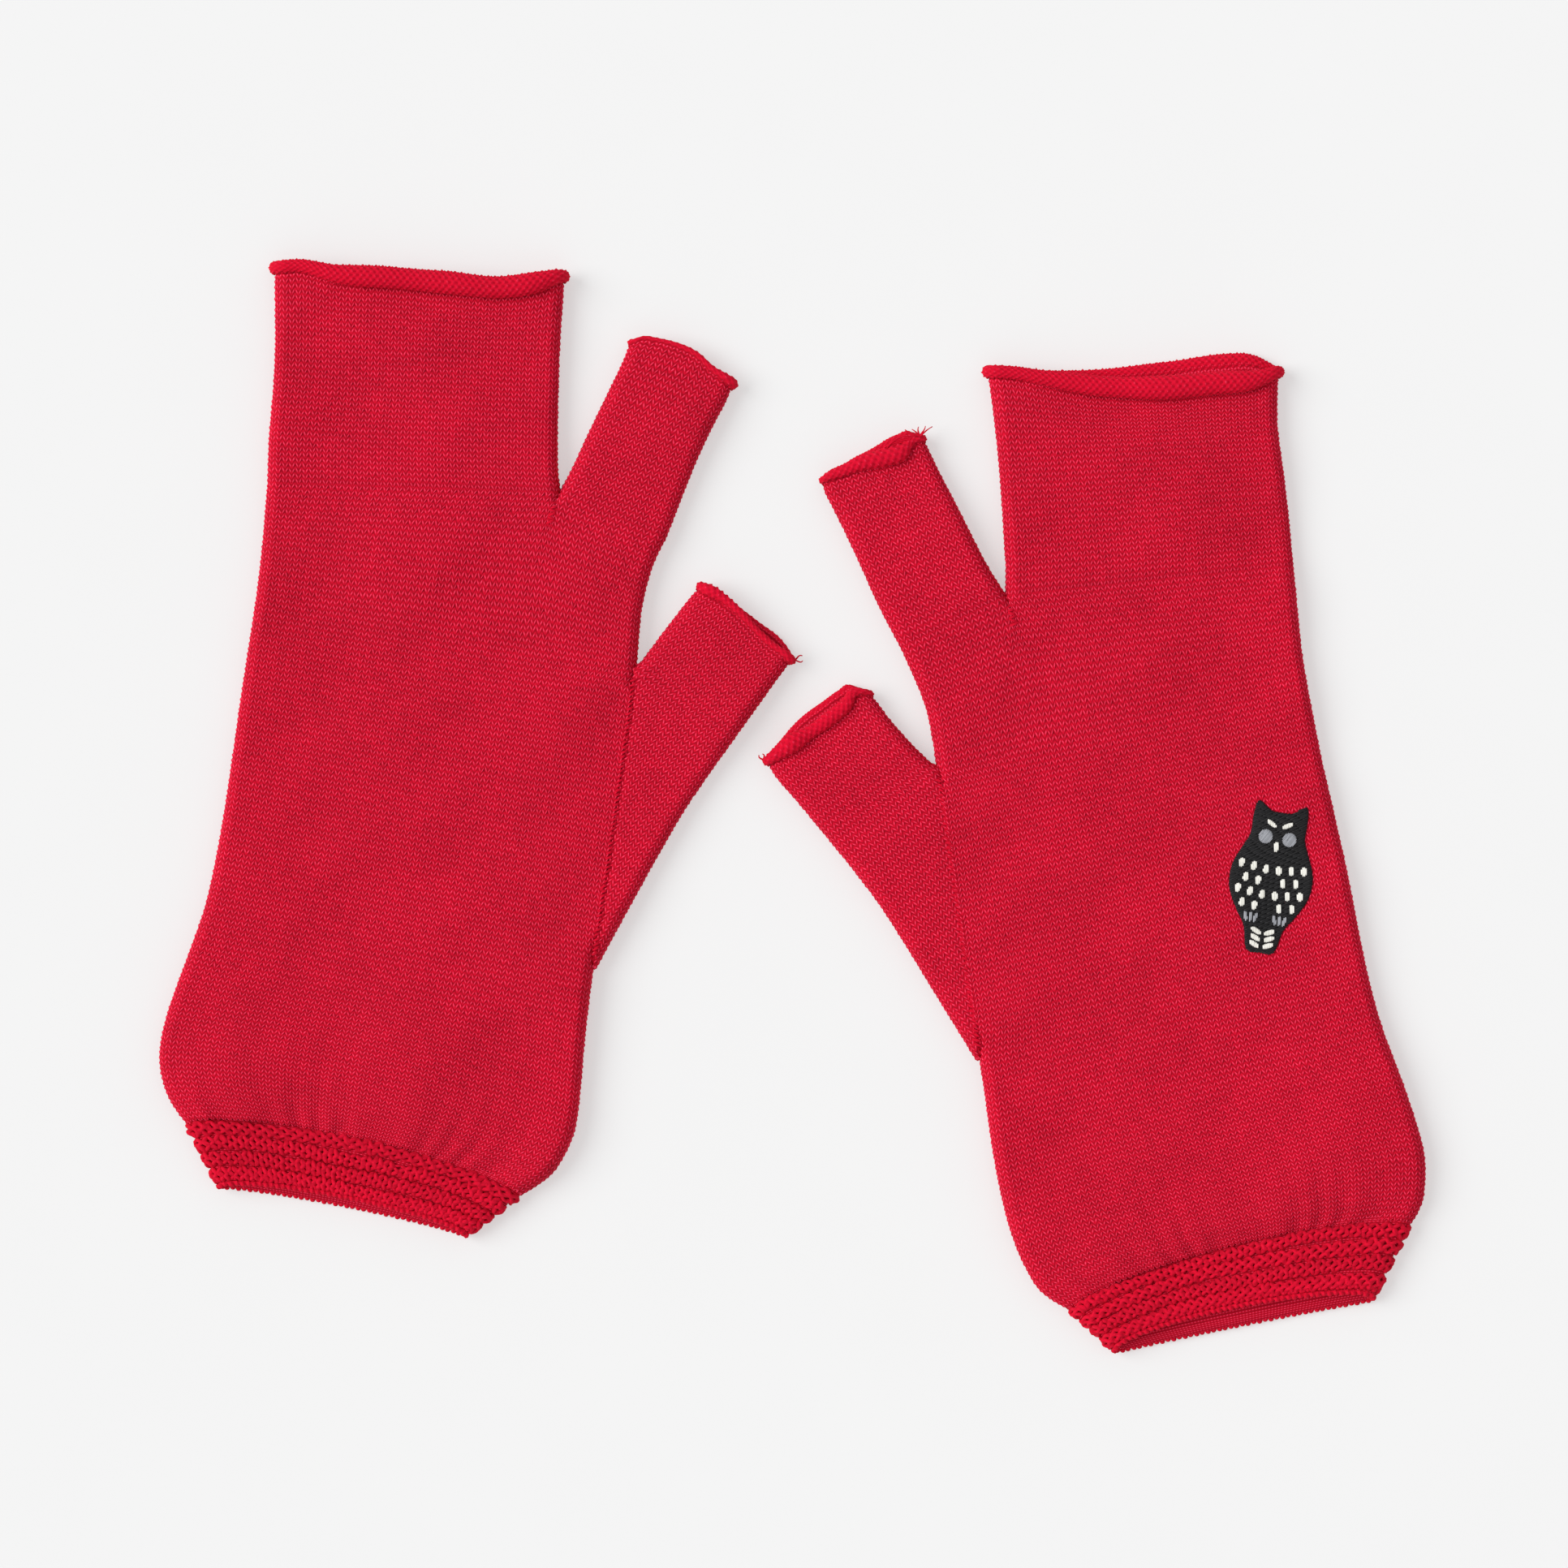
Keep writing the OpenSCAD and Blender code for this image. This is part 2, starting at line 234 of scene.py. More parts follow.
def hermite(knots, values, at):
    """A smooth curve through values at knots, which goes straight on past its ends."""
    knots, values = np.asarray(knots, float), np.asarray(values, float)
    slopes = np.gradient(values, knots, axis=0)
    inside = np.clip(at, knots[0], knots[-1])
    i = np.clip(np.searchsorted(knots, inside, side="right") - 1, 0, len(knots) - 2)
    spread = (..., *[None] * (values.ndim - 1))
    step = (knots[i + 1] - knots[i])[spread]
    q = (inside - knots[i])[spread] / step
    curve = (2 * q**3 - 3 * q**2 + 1) * values[i] + (3 * q**2 - 2 * q**3) * values[i + 1]
    curve += step * ((q**3 - 2 * q**2 + q) * slopes[i] + (q**3 - q**2) * slopes[i + 1])
    beyond = (at - inside)[spread]
    return curve + beyond * np.where(beyond < 0, slopes[0], slopes[-1])


def spline(points, share):
    """Points at shares of the length of a smooth curve."""
    knots = np.concatenate([[0], np.cumsum(np.linalg.norm(np.diff(points, axis=0), axis=1))])
    return hermite(knots, points, np.asarray(share, float) * knots[-1])


def length(points):
    return float(np.linalg.norm(np.diff(points, axis=0), axis=1).sum())


for side in ("left", "right"):
    left, right = (round(length(fold)) for fold in folds[side, "hand"])
    print(f"{side} hand: its left fold is {left} mm long and its right one {right} mm")


# %% [markdown]
# ## Yarn and stitches
#
# Plain knitting shows columns of small Vs, called wales, stacked in rows, called courses. Each V
# is two yarn legs that lean apart. A picture of Vs pressed into a flat sheet looks printed, so the
# Vs are real here: a mesh whose rows run in zigzags, four columns and two rows to each stitch.
# Raising the zigzag crests at the middle of each leg gives every leg its own small ridge.

# %% Sizes of the knitting, in mm
COURSE = 1.29        # height of a stitch
WALE = 1.54          # width of a stitch
LEG_LEAN = 1.0       # how far a leg climbs over half a stitch, in courses
LEG_HEIGHT = 0.42    # how far a leg stands out of the sheet
UNEVEN = 0.07        # how far a leg strays up or down, in courses
LAYER = 1.0          # thickness of one layer
FOLD = 2.7           # radius of the folded side of a flat tube
CENTRE = 3.5         # height of the folds above the table
HALF = 3.0           # from the middle of a flat tube to its surface
HAND_WALES = 62
FINGER_WALES = 45
COLUMNS = 4          # mesh columns in a wale
ROWS = 2             # mesh rows in a course
dice = np.random.default_rng(7)


def stitch_grid(wales, courses, straight=0):
    """Column numbers, and for each vertex its course, on rows that zigzag along the legs.
    The zigzag dies out over the last courses, as many as straight says."""
    column = np.arange(wales * COLUMNS + 1)
    row = np.arange(courses * ROWS + 1) / ROWS
    lean = LEG_LEAN * np.abs((column % COLUMNS) / 2 - 1)
    left = np.clip((courses - row) / straight, 0, 1) if straight else np.ones(len(row))
    loose = dice.normal(0, UNEVEN, (courses + 1, wales * 2 + 1))
    loose = loose.repeat(ROWS, 0).repeat(COLUMNS // 2, 1)[:len(row), :len(column)]
    loose = loose * (smooth(row) * smooth(courses - row))[:, None]
    return column, row[:, None] + lean[None, :] * left[:, None] + loose


def stitch_relief(shape):
    """Height of each vertex of a stitch grid, 0 to 1: ridges on the legs, grooves between them."""
    rows, columns = shape
    leg = (np.arange(columns) % 2)[None, :]
    crest = 1 - (np.arange(rows) % ROWS)[:, None]
    height = 0.05 + 0.2 * crest + leg * (0.2 + 0.55 * crest)
    uneven = dice.normal(1, 0.1, (rows // ROWS + 1, columns // 2 + 1))
    uneven = uneven.repeat(ROWS, 0).repeat(2, 1)[:rows, :columns]
    uneven[0] = uneven[-1] = 1
    return np.clip(height * uneven, 0, 1.2)


print(HAND_WALES, "wales cross a hand, and", FINGER_WALES, "of them go on into the fingers")


# %% [markdown]
# ## How a flat tube lies
#
# A knitted tube on a table is two layers with air between them. Its sides are soft folds, so the
# wales crowd together there and turn under. The upper layer is never flat: it swells and dips by
# half a millimetre over a few centimetres, which is what makes soft light wander across it.

# %% Swells and folds
FULLNESS = 0.7           # the hand is this much thicker above the cuff, in mm
UNDER = 0.2              # the lower layer lies this much nearer to the middle of the tube
SWELL_SLOPE = 0.0045     # height of a swell as a share of its length
SHORT_SWELL, LONG_SWELL = 16, 60
swells = []              # length in mm, heading and phase of each
for _ in range(12):
    wave = dice.uniform(SHORT_SWELL, LONG_SWELL)
    swells.append((wave, dice.uniform(0, math.pi), dice.uniform(0, 2 * math.pi)))
print("swells from", round(min(swells)[0]), "to", round(max(swells)[0]), "mm long")


def swell(x, y):
    """Height of the soft swells at a place, in mm."""
    total = 0
    for wave, heading, phase in swells:
        along = x * math.cos(heading) + y * math.sin(heading)
        total = total + SWELL_SLOPE * wave * np.sin(2 * math.pi * along / wave + phase)
    return total


def to_fingers(side):
    """Unit vector square to the top of the cuff, towards the fingers."""
    turn = fold_axis(side, "cuff")
    return np.array([turn[1], -turn[0]])


def from_cuff(side, plan):
    """Distance from the top of the cuff towards the fingers, in mm."""
    return (plan - hinge(side, "cuff")) @ to_fingers(side)


def top_height(side, plan):
    """From the middle of a flat tube to its upper surface, where it isn't near a fold, in mm."""
    up = from_cuff(side, plan)
    full = FULLNESS * smooth(up / 18) * (1 - smooth((up - 30) / 50))
    return HALF + swell(plan[..., 0], plan[..., 1]) + full


def fold_shape(at, around, width, begin=(0, 0)):
    """Across a tube, at so many mm of cloth past its first side: the distance from that side, and
    the rise from the fold (0) to the flat (1). A side may start part of the way round its fold, at
    an angle from 0 to a right angle."""
    near = [at + FOLD * begin[0], around - at + FOLD * begin[1]]
    turn = [np.minimum(n / FOLD, math.pi / 2) for n in near]
    inset = [FOLD * (np.cos(b) - np.cos(t)) + np.maximum(n - FOLD * math.pi / 2, 0)
             for n, t, b in zip(near, turn, begin)]
    return np.where(inset[0] < inset[1], inset[0], width - inset[1]), np.sin(np.minimum(*turn))


def cloth_across(width, begin=(0, 0)):
    """How much cloth crosses a tube, and how much each side has lost to its starting angle."""
    lost = [FOLD * (b + np.cos(b) - 1) for b in begin]
    return width + FOLD * (math.pi - 2) - lost[0] - lost[1], lost


def section(share, width, begin=(0, 0)):
    """The same at a share of the cloth. What a side has lost is taken up near that side."""
    around, lost = cloth_across(width, begin)
    at = share * (around + lost[0] + lost[1])
    at = at - lost[0] * (1 - smooth(1 - share / 0.3)) - lost[1] * smooth((share - 0.7) / 0.3)
    return fold_shape(at, around, width, begin)


def lift(side, plan, rise, layer, centre=CENTRE, squeeze=1.0, extra=0.0):
    """Adds the height to plan points on the upper (+1) or lower (-1) layer."""
    upper = top_height(side, plan) * squeeze + extra
    z = centre + rise * np.where(layer > 0, upper, UNDER - HALF * squeeze)
    return np.concatenate([plan, z[..., None]], axis=-1)


# %% [markdown]
# ## From a grid to a closed skin
#
# Every knitted piece becomes a closed shell. The outside carries the stitches. The inside is
# hardly ever seen, so it takes only every few rows. At an open side the two are stitched together
# with faces that have many corners on the fine edge and two on the coarse one. Those edges are
# shaded flat, so that they don't darken the last row of stitches.

# %% Meshes
pieces = {}
PRESS = 0.7          # yarn is pressed flat from this many mm above the table
PRESSED = 0.05       # and never gets nearer to it than this


def add_piece(name, vertices, faces, flat=0, **attributes):
    """A mesh object from points in mm, with one number per point for each attribute.
    It is smooth except for the last faces, as many as flat says. Yarn that would reach into the
    table is pressed flat on it."""
    mesh = bpy.data.meshes.new(name)
    vertices = np.array(vertices, float)
    low = np.minimum(vertices[:, 2] - PRESS, 0)
    pressed = PRESSED + (PRESS - PRESSED) * np.exp(low / (PRESS - PRESSED))
    vertices[:, 2] = np.where(low < 0, pressed, vertices[:, 2])
    mesh.from_pydata((vertices * MM).tolist(), [], faces)
    for key, values in attributes.items():
        stored = mesh.attributes.new(key, "FLOAT", "POINT")
        stored.data.foreach_set("value", np.asarray(values, np.float32))
    mesh.polygons.foreach_set("use_smooth", [True] * (len(faces) - flat) + [False] * flat)
    mesh.update()
    piece = bpy.data.objects.new(name, mesh)
    bpy.context.scene.collection.objects.link(piece)
    pieces[name] = piece
    print(f"{name}: {len(mesh.vertices)} points, {len(mesh.polygons)} faces")
    return piece


def unit(vectors):
    return vectors / np.maximum(np.linalg.norm(vectors, axis=-1, keepdims=True), 1e-9)


def facing(points, closed=False):
    """Unit normals of a grid of points."""
    ring = np.concatenate([points[:, -1:], points, points[:, :1]], axis=1) if closed else points
    normal = np.cross(np.gradient(ring, axis=1), np.gradient(ring, axis=0))
    return unit(normal[:, 1:-1] if closed else normal)


def stitch_marks(rows, columns):
    """For each point of a grid: its wale, its course, and a tone that each stitch has to itself."""
    wale = np.broadcast_to(np.arange(columns) / COLUMNS, (rows, columns))
    course = np.broadcast_to(np.arange(rows)[:, None] / ROWS, (rows, columns))
    tone = dice.random((rows // ROWS + 1, columns // COLUMNS + 1))
    return wale, course, tone.repeat(ROWS, 0).repeat(COLUMNS, 1)[:rows, :columns]


def knit_piece(name, points, relief, closed=False, flip=False, inner_step=10):
    """A closed shell: a grid of points raised by its relief, and a plain inside one layer down."""
    rows, columns = relief.shape
    normal = facing(points, closed) * (-1 if flip else 1)
    outside = points + normal * (relief * LEG_HEIGHT)[..., None]
    inner_rows = sorted({*range(0, rows, inner_step), rows - 1})
    inside = (points - normal * LAYER)[inner_rows]
    outer = np.arange(rows * columns).reshape(rows, columns)
    inner = outer.size + np.arange(inside.shape[0] * columns).reshape(-1, columns)
    after = np.roll(np.arange(columns), -1) if closed else np.arange(1, columns)
    here = np.arange(len(after))

    def quads(grid):
        near, far = grid[:-1], grid[1:]
        return np.stack([near[:, here], near[:, after], far[:, after], far[:, here]], -1)

    faces = quads(outer).reshape(-1, 4).tolist() + quads(inner)[..., ::-1].reshape(-1, 4).tolist()
    smooth_faces = len(faces)
    for end, one, two in ((0, after, here), (-1, here, after)):
        out, into = outer[end], inner[end]
        faces += np.stack([out[one], out[two], into[two], into[one]], -1).tolist()
    if not closed:
        for k in range(len(inner_rows) - 1):
            span = np.arange(inner_rows[k], inner_rows[k + 1] + 1)
            near, far = inner[k].tolist(), inner[k + 1].tolist()
            faces.append([*outer[span, 0].tolist(), far[0], near[0]])
            faces.append([*outer[span[::-1], -1].tolist(), near[-1], far[-1]])
    if flip:
        faces = [face[::-1] for face in faces]
    wale, course, tone = stitch_marks(rows, columns)
    wale, course = (np.concatenate([a.ravel(), a[inner_rows].ravel()]) for a in (wale, course))
    tone = np.concatenate([tone.ravel(), np.full(inside.size // 3, 0.5)])
    vertices = np.concatenate([outside.reshape(-1, 3), inside.reshape(-1, 3)])
    flat = len(faces) - smooth_faces
    return add_piece(name, vertices, faces, flat=flat, wale=wale, course=course, tone=tone)

# %% [markdown]
# ## The hand
#
# The hand is one tube from the cuff to the fork. Its courses bend up at the fork, and there the
# back and the palm meet between the index finger and the others, as they do where knitters close
# a fork. Near the cuff the wales are gathered, which puckers the cloth. Along the thumb the hand
# has no fold: the cloth goes straight on into the thumb. The back and the palm are two pieces that
# share the folds, because one mesh of every stitch would be heavy to handle.

# %% Folds that share their corners
fork = {}
for side in ("left", "right"):
    hand, fingers, index = (folds[side, part] for part in ("hand", "fingers", "index"))
    inner_finger, inner_index = (1, 0) if side == "left" else (0, 1)
    fork[side] = (fingers[inner_finger][0] + index[inner_index][0]) / 2
    fingers[inner_finger][0] = index[inner_index][0] = fork[side]
    outer = (fingers[0][0], index[1][0]) if side == "left" else (index[0][0], fingers[1][0])
    for edge, corner in zip(hand, outer):
        edge[-1] = corner
    for part, _ in SLEEVES:
        pairs = zip(folds[side, part], corners[side, part])
        folds[side, part] = tuple(np.vstack([fold, corner]) for fold, corner in pairs)
    pairs = zip(hand, corners[side, "cuff"][::-1])
    folds[side, "cuff"] = tuple(np.array([fold[0], corner]) for fold, corner in pairs)
    print(side, "fork at", fork[side].round(1))


# %% Where the hand goes on into the thumb
def thumb_folds(side):
    """The long and the short fold of a thumb, both from the hand to the tip."""
    left, right = folds[side, "thumb"]
    return (right, left) if side == "left" else (left, right)


joins = {}
HEEL_RUN = 14.0      # the fold has opened out this far past the heel of the thumb, in mm
CROTCH_RUN = 9.0     # and this far below its crotch
for side in ("left", "right"):
    edge = folds[side, "hand"][1 if side == "left" else 0]
    long, short = thumb_folds(side)
    way = np.linspace(0, 1, 801)
    places = spline(edge, way)
    heel, crotch = (way[np.argmin(np.linalg.norm(places - fold[0], axis=1))]
                    for fold in (long, short))
    long_fold = spline(long, np.linspace(0, 1, 200))
    cloth = np.linalg.norm(places[:, None] - long_fold[None], axis=2).min(axis=1)
    run = length(edge)
    from_heel, from_crotch = (way - heel) * run / HEEL_RUN, (crotch - way) * run / CROTCH_RUN
    open_out = np.minimum(smooth(from_heel), smooth(from_crotch))
    begin = np.minimum(open_out * math.pi / 2, np.arccos(1 - np.minimum(cloth, FOLD) / FOLD))
    joins[side] = {"heel": heel, "crotch": crotch, "way": way, "begin": begin, "edge": edge}
    print(side, "thumb joins the hand over", round((crotch - heel) * run, 1), "mm")

# %% Surface of the hand
FORK_RUN = 16.0      # wales draw together over this many mm below the fork
FORK_DEPTH = 3.5     # and the cloth dips over this many
ARCH = 5.6           # the top of the cuff bows up by this much
GATHERS = 12         # puckers across the hand above the cuff
PUCKER = 0.33        # their height at the cuff, in mm
PUCKER_RUN = 11      # they fade over this many mm
BEND_FROM = 0.78     # courses start to bend up to the fork at this share of the hand's length


def arch(share, height=ARCH):
    """How far the cuff's line bows towards the fingers, in mm."""
    return height * np.clip(4 * share * (1 - share), 0, 1) ** 0.6


def fork_share(side):
    """Where the fork is, as a share of the hand's wales from left to right."""
    return FINGER_WALES / HAND_WALES if side == "left" else 1 - FINGER_WALES / HAND_WALES


def side_by_side(share, wide, split):
    """Across a hand, as a share of its width, where its cloth already lies as two tubes."""
    first, _ = section(np.clip(share / split, 0, 1), wide * split)
    second, _ = section(np.clip((share - split) / (1 - split), 0, 1), wide * (1 - split))
    return np.where(share <= split, first / wide, split + second / wide)


def hand_surface(side, share, along, layer):
    """Points of a hand's layer at shares across it and along it."""
    left, right = folds[side, "hand"]
    split = fork_share(side)
    start, end = spline(left, along), spline(right, along)
    wide = np.linalg.norm(end - start, axis=-1)
    begin = np.interp(along, joins[side]["way"], joins[side]["begin"])
    begins = (0 * begin, begin) if side == "left" else (begin, 0 * begin)
    across, rise = section(share, wide, begins)
    across = across / wide
    drawn = smooth(1 - (1 - along) * length(left) / FORK_RUN)
    across = across + (side_by_side(share, wide, split) - across) * drawn
    chord = left[-1] + (right[-1] - left[-1]) * split
    tent = np.minimum(across / split, (1 - across) / (1 - split))
    bend = (tent * smooth((along - BEND_FROM) / 0.22))[..., None] * (fork[side] - chord)
    up = along * length(left)
    bow = (arch(across) * (1 - smooth(up / 50)))[..., None] * to_fingers(side)
    pucker = np.sin(2 * math.pi * (GATHERS * share + 0.35 * np.sin(17 * share)))
    gathered = PUCKER * pucker * np.exp(-np.maximum(up, 0) / PUCKER_RUN)
    drawn_in = 0.7 * (1 - smooth(up / 8))
    plan = start + (end - start) * across[..., None] + bend + bow
    return lift(side, plan, rise, layer, extra=gathered - drawn_in)


def fork_surface(side, share, beyond, layer):
    """Where the two finger sleeves put the same points, so many courses beyond the hand's end."""
    parts = ("fingers", "index") if side == "left" else ("index", "fingers")
    split = fork_share(side)
    shares = (np.clip(share / split, 0, 1), np.clip((share - split) / (1 - split), 0, 1))
    points = [sleeve_surface(side, part, part_share, layer, beyond * sleeve_course(side, part))[0]
              for part, part_share in zip(parts, shares)]
    return np.where((share <= split)[..., None], *points)


print("the fork is at", round(fork_share("left"), 2), "of the left hand's width")


# %% [markdown]
# ## The line of each hem
#
# A plain-knit edge rolls outward by itself. How far it rolls, and how the edge bows, differs from
# hem to hem, and the upper layer never lies exactly over the lower one. So each hem has four lines
# from left to right: where the upper edge comes, how thick its roll is, and the same for the lower.

# %% Hem lines, in mm
STOPS = (0, 0.08, 0.2, 0.4, 0.6, 0.8, 0.92, 1)      # shares of the width
HEMS = {
    ("left", "fingers"): (
        (0.3, 1.0, 0.0, 0.0, -0.7, -1.2, 0.2, 1.4), (1.2, 1.3, 1.9, 2.35, 2.35, 2.4, 2.1, 1.2),
        (0.3, 0.4, -0.6, -0.6, -1.3, -1.8, -0.4, 1.0), (1.2, 1.2, 1.3, 1.4, 1.4, 1.4, 1.3, 1.2)),
    ("left", "index"): (
        (-1.2, 0.6, 1.5, 2.3, 2.1, 0.2, -0.2, -0.6), (0.7, 0.45, 0.45, 0.5, 0.65, 0.7, 0.9, 1.2),
        (-1.2, 0.3, 1.0, 1.7, 1.5, 0.2, -0.3, -1.3), (0.8, 0.6, 0.6, 0.6, 0.6, 0.6, 0.7, 0.9)),
    ("left", "thumb"): (
        (-0.2, 0.7, 1.1, 0.8, 0.0, -0.3, 0.1, 0.0), (1.1, 1.2, 1.0, 0.75, 0.7, 0.7, 0.8, 0.9),
        (-0.2, 0.5, 0.8, 1.0, 1.3, 1.5, 0.9, 0.0), (0.8, 0.7, 0.6, 0.6, 0.6, 0.6, 0.6, 0.8)),
    ("right", "fingers"): (
        (-0.2, -0.5, -1.7, -3.3, -3.4, -2.2, -2.0, -0.6), (1.2, 1.3, 1.7, 2.2, 2.45, 2.5, 1.9, 1.2),
        (-0.2, -0.5, -1.4, -1.0, 0.5, 2.5, 2.2, -0.6), (1.1, 1.2, 1.3, 1.5, 1.9, 2.2, 1.7, 1.1)),
    ("right", "index"): (
        (0.1, 0.5, 0.5, 0.7, -0.3, -1.1, -0.5, -1.2), (0.8, 0.9, 1.2, 1.6, 1.9, 1.5, 0.8, 0.8),
        (0.1, 0.5, 0.4, 0.9, 1.4, 1.7, 1.3, -1.0), (0.7, 0.7, 0.8, 0.9, 1.0, 1.0, 0.9, 0.7)),
    ("right", "thumb"): (
        (-0.2, 0.3, 1.1, 0.3, 0.4, 1.1, 1.9, -0.5), (0.9, 1.3, 1.9, 1.4, 1.4, 1.4, 0.9, 0.8),
        (-0.2, 0.4, 1.3, 2.9, 3.2, 3.4, 2.8, -1.0), (0.8, 0.8, 0.9, 0.95, 0.95, 0.95, 0.9, 0.8)),
}
ROLL = {"fingers": 2.2, "index": 1.0, "thumb": 1.0}     # a sleeve's knitting ends this far short


def hem_line(side, part, share, near):
    """The forward edge and the roll round a hem, where near is 1 on the upper layer and 0 below."""
    lines = [hermite(STOPS, line, share) for line in HEMS[side, part]]
    return [far + (top - far) * near for top, far in zip(lines[:2], lines[2:])]


for key, lines in HEMS.items():
    print(*key, "hem's roll is up to", max(lines[1]), "mm in radius")


# %% [markdown]
# ## Sleeves for the fingers
#
# A sleeve goes on from the hand without a seam, so its first course is the hand's last one. It is
# one closed tube, and its stitches run round it. Towards the hem the tube gets flatter and lifts
# off the table a little, because the rolled hem holds it up.

# %% Surface of a sleeve
LIFT_RUN = 16.0      # the hem's lift reaches this far down the sleeve, in mm
HEM_RUN = 22.0       # and its bowed line this far
HEM_LIFT = 0.35      # it lifts the tube by this share of its roll, and flattens it by this share


def ahead(tip_line):
    """Unit vector square to a line from left to right, on its far side."""
    return np.array([-tip_line[1], tip_line[0]]) / np.linalg.norm(tip_line)


def hem_reach(side, part, plan, across, rise, layer, from_end):
    """Moves plan points near a hem to its bowed line, and gives its roll there."""
    tip = folds[side, part][1][-1] - folds[side, part][0][-1]
    edge, roll = hem_line(side, part, across, 0.5 + 0.5 * layer * rise)
    shift = (edge - roll + ROLL[part]) * (1 - smooth(from_end / HEM_RUN))
    return plan + shift[..., None] * ahead(tip), roll


def sleeve_surface(side, part, share, layer, along):
    """Points of a finger sleeve, from its left fold to its right one, and the roll of its hem."""
    left, right = folds[side, part]
    start, end = spline(left, along), spline(right, along)
    wide = np.linalg.norm(end - start, axis=-1)
    across, rise = section(share, wide)
    across = across / wide
    plan = start + (end - start) * across[..., None]
    from_end = (1 - along) * (length(left) + length(right)) / 2
    plan, roll = hem_reach(side, part, plan, across, rise, layer, from_end)
    near = 1 - smooth(from_end / LIFT_RUN)
    return lift(side, plan, rise, layer, CENTRE + near * HEM_LIFT * roll, 1 - HEM_LIFT * near), roll


def sleeve_length(side, part):
    left, right = folds[side, part]
    return (length(left) + length(right)) / 2


def sleeve_course(side, part):
    """The height of a sleeve's courses as a share of its length."""
    run = sleeve_length(side, part)
    knitted = run - ROLL[part]
    return knitted / round(knitted / COURSE) / run


# %% Knit the sleeves
def make_sleeve(side, part, wales, name):
    courses = round((sleeve_length(side, part) - ROLL[part]) / COURSE)
    column, course = stitch_grid(2 * wales, courses, straight=3)
    column, course = column[:-1], course[:, :-1]
    loop = np.broadcast_to(column / (2 * wales * COLUMNS), course.shape)
    share, layer = 1 - np.abs(1 - 2 * loop), np.where(loop <= 0.5, 1, -1)
    points, _ = sleeve_surface(side, part, share, layer, course * sleeve_course(side, part))
    knit_piece(name, points, stitch_relief(course.shape), closed=True)


for side in ("left", "right"):
    make_sleeve(side, "fingers", FINGER_WALES, f"{side}_finger_tube")
    make_sleeve(side, "index", HAND_WALES - FINGER_WALES, f"{side}_index_tube")

# %% [markdown]
# ## Knitting the hand
#
# With the sleeves' surfaces known, the hand's last courses can ease into them, so the two meet
# stitch to stitch.

# %% Make the hands
def make_hand(side):
    left, right = folds[side, "hand"]
    run = (length(left) + length(right)) / 2
    courses = round(run / COURSE)
    column, course = stitch_grid(HAND_WALES, courses)
    share = np.broadcast_to(column / column[-1], course.shape)
    to_end = (courses - course) * COURSE
    closing = np.stack([smooth(1 - to_end / reach) for reach in (COURSE, COURSE, FORK_DEPTH)], -1)
    for name, layer in (("back", 1), ("palm", -1)):
        points = hand_surface(side, share, course / courses, layer)
        points = points + (fork_surface(side, share, course - courses, layer) - points) * closing
        knit_piece(f"{side}_hand_{name}", points, stitch_relief(course.shape), flip=layer < 0)


for side in ("left", "right"):
    make_hand(side)

# %% [markdown]
# ## The thumb
#
# A thumb sleeve meets the hand along a slanting seam, so its courses get shorter towards the heel
# of the hand. The grid is laid from the long outer fold, and each course stops where it reaches
# the seam. Points past the seam are pinned to it, and faces with nothing but pinned points are left
# out. What remains is a tube with a slanted, uneven end. The edges that only one face uses are its
# rims, and walls there join the outside to the inside.

# %% Surface of a thumb
SEAM_DIP = {"left": 0.5, "right": 0.18}      # a thumb lies this much lower where it meets the hand
DIP_RUN = 4          # over this many mm
TUCK = 0.9           # and goes this far under the hand's edge
NARROWEST = 0.3      # a thumb's start is never narrower than this


def thumb_inside(side):
    """The hand's edge from heel to crotch and on along the thumb's short fold, and the angle at
    which the cloth leaves the hand there."""
    join = joins[side]
    way = np.linspace(join["heel"], join["crotch"], 60)
    seam, short = spline(join["edge"], way), thumb_folds(side)[1][1:]
    seam = seam + TUCK * unit(ahead(seam[-1] - seam[0])) * (1 if side == "left" else -1)
    begin = np.interp(way, join["way"], join["begin"])
    return np.vstack([seam, short]), np.concatenate([begin, np.zeros(len(short))])


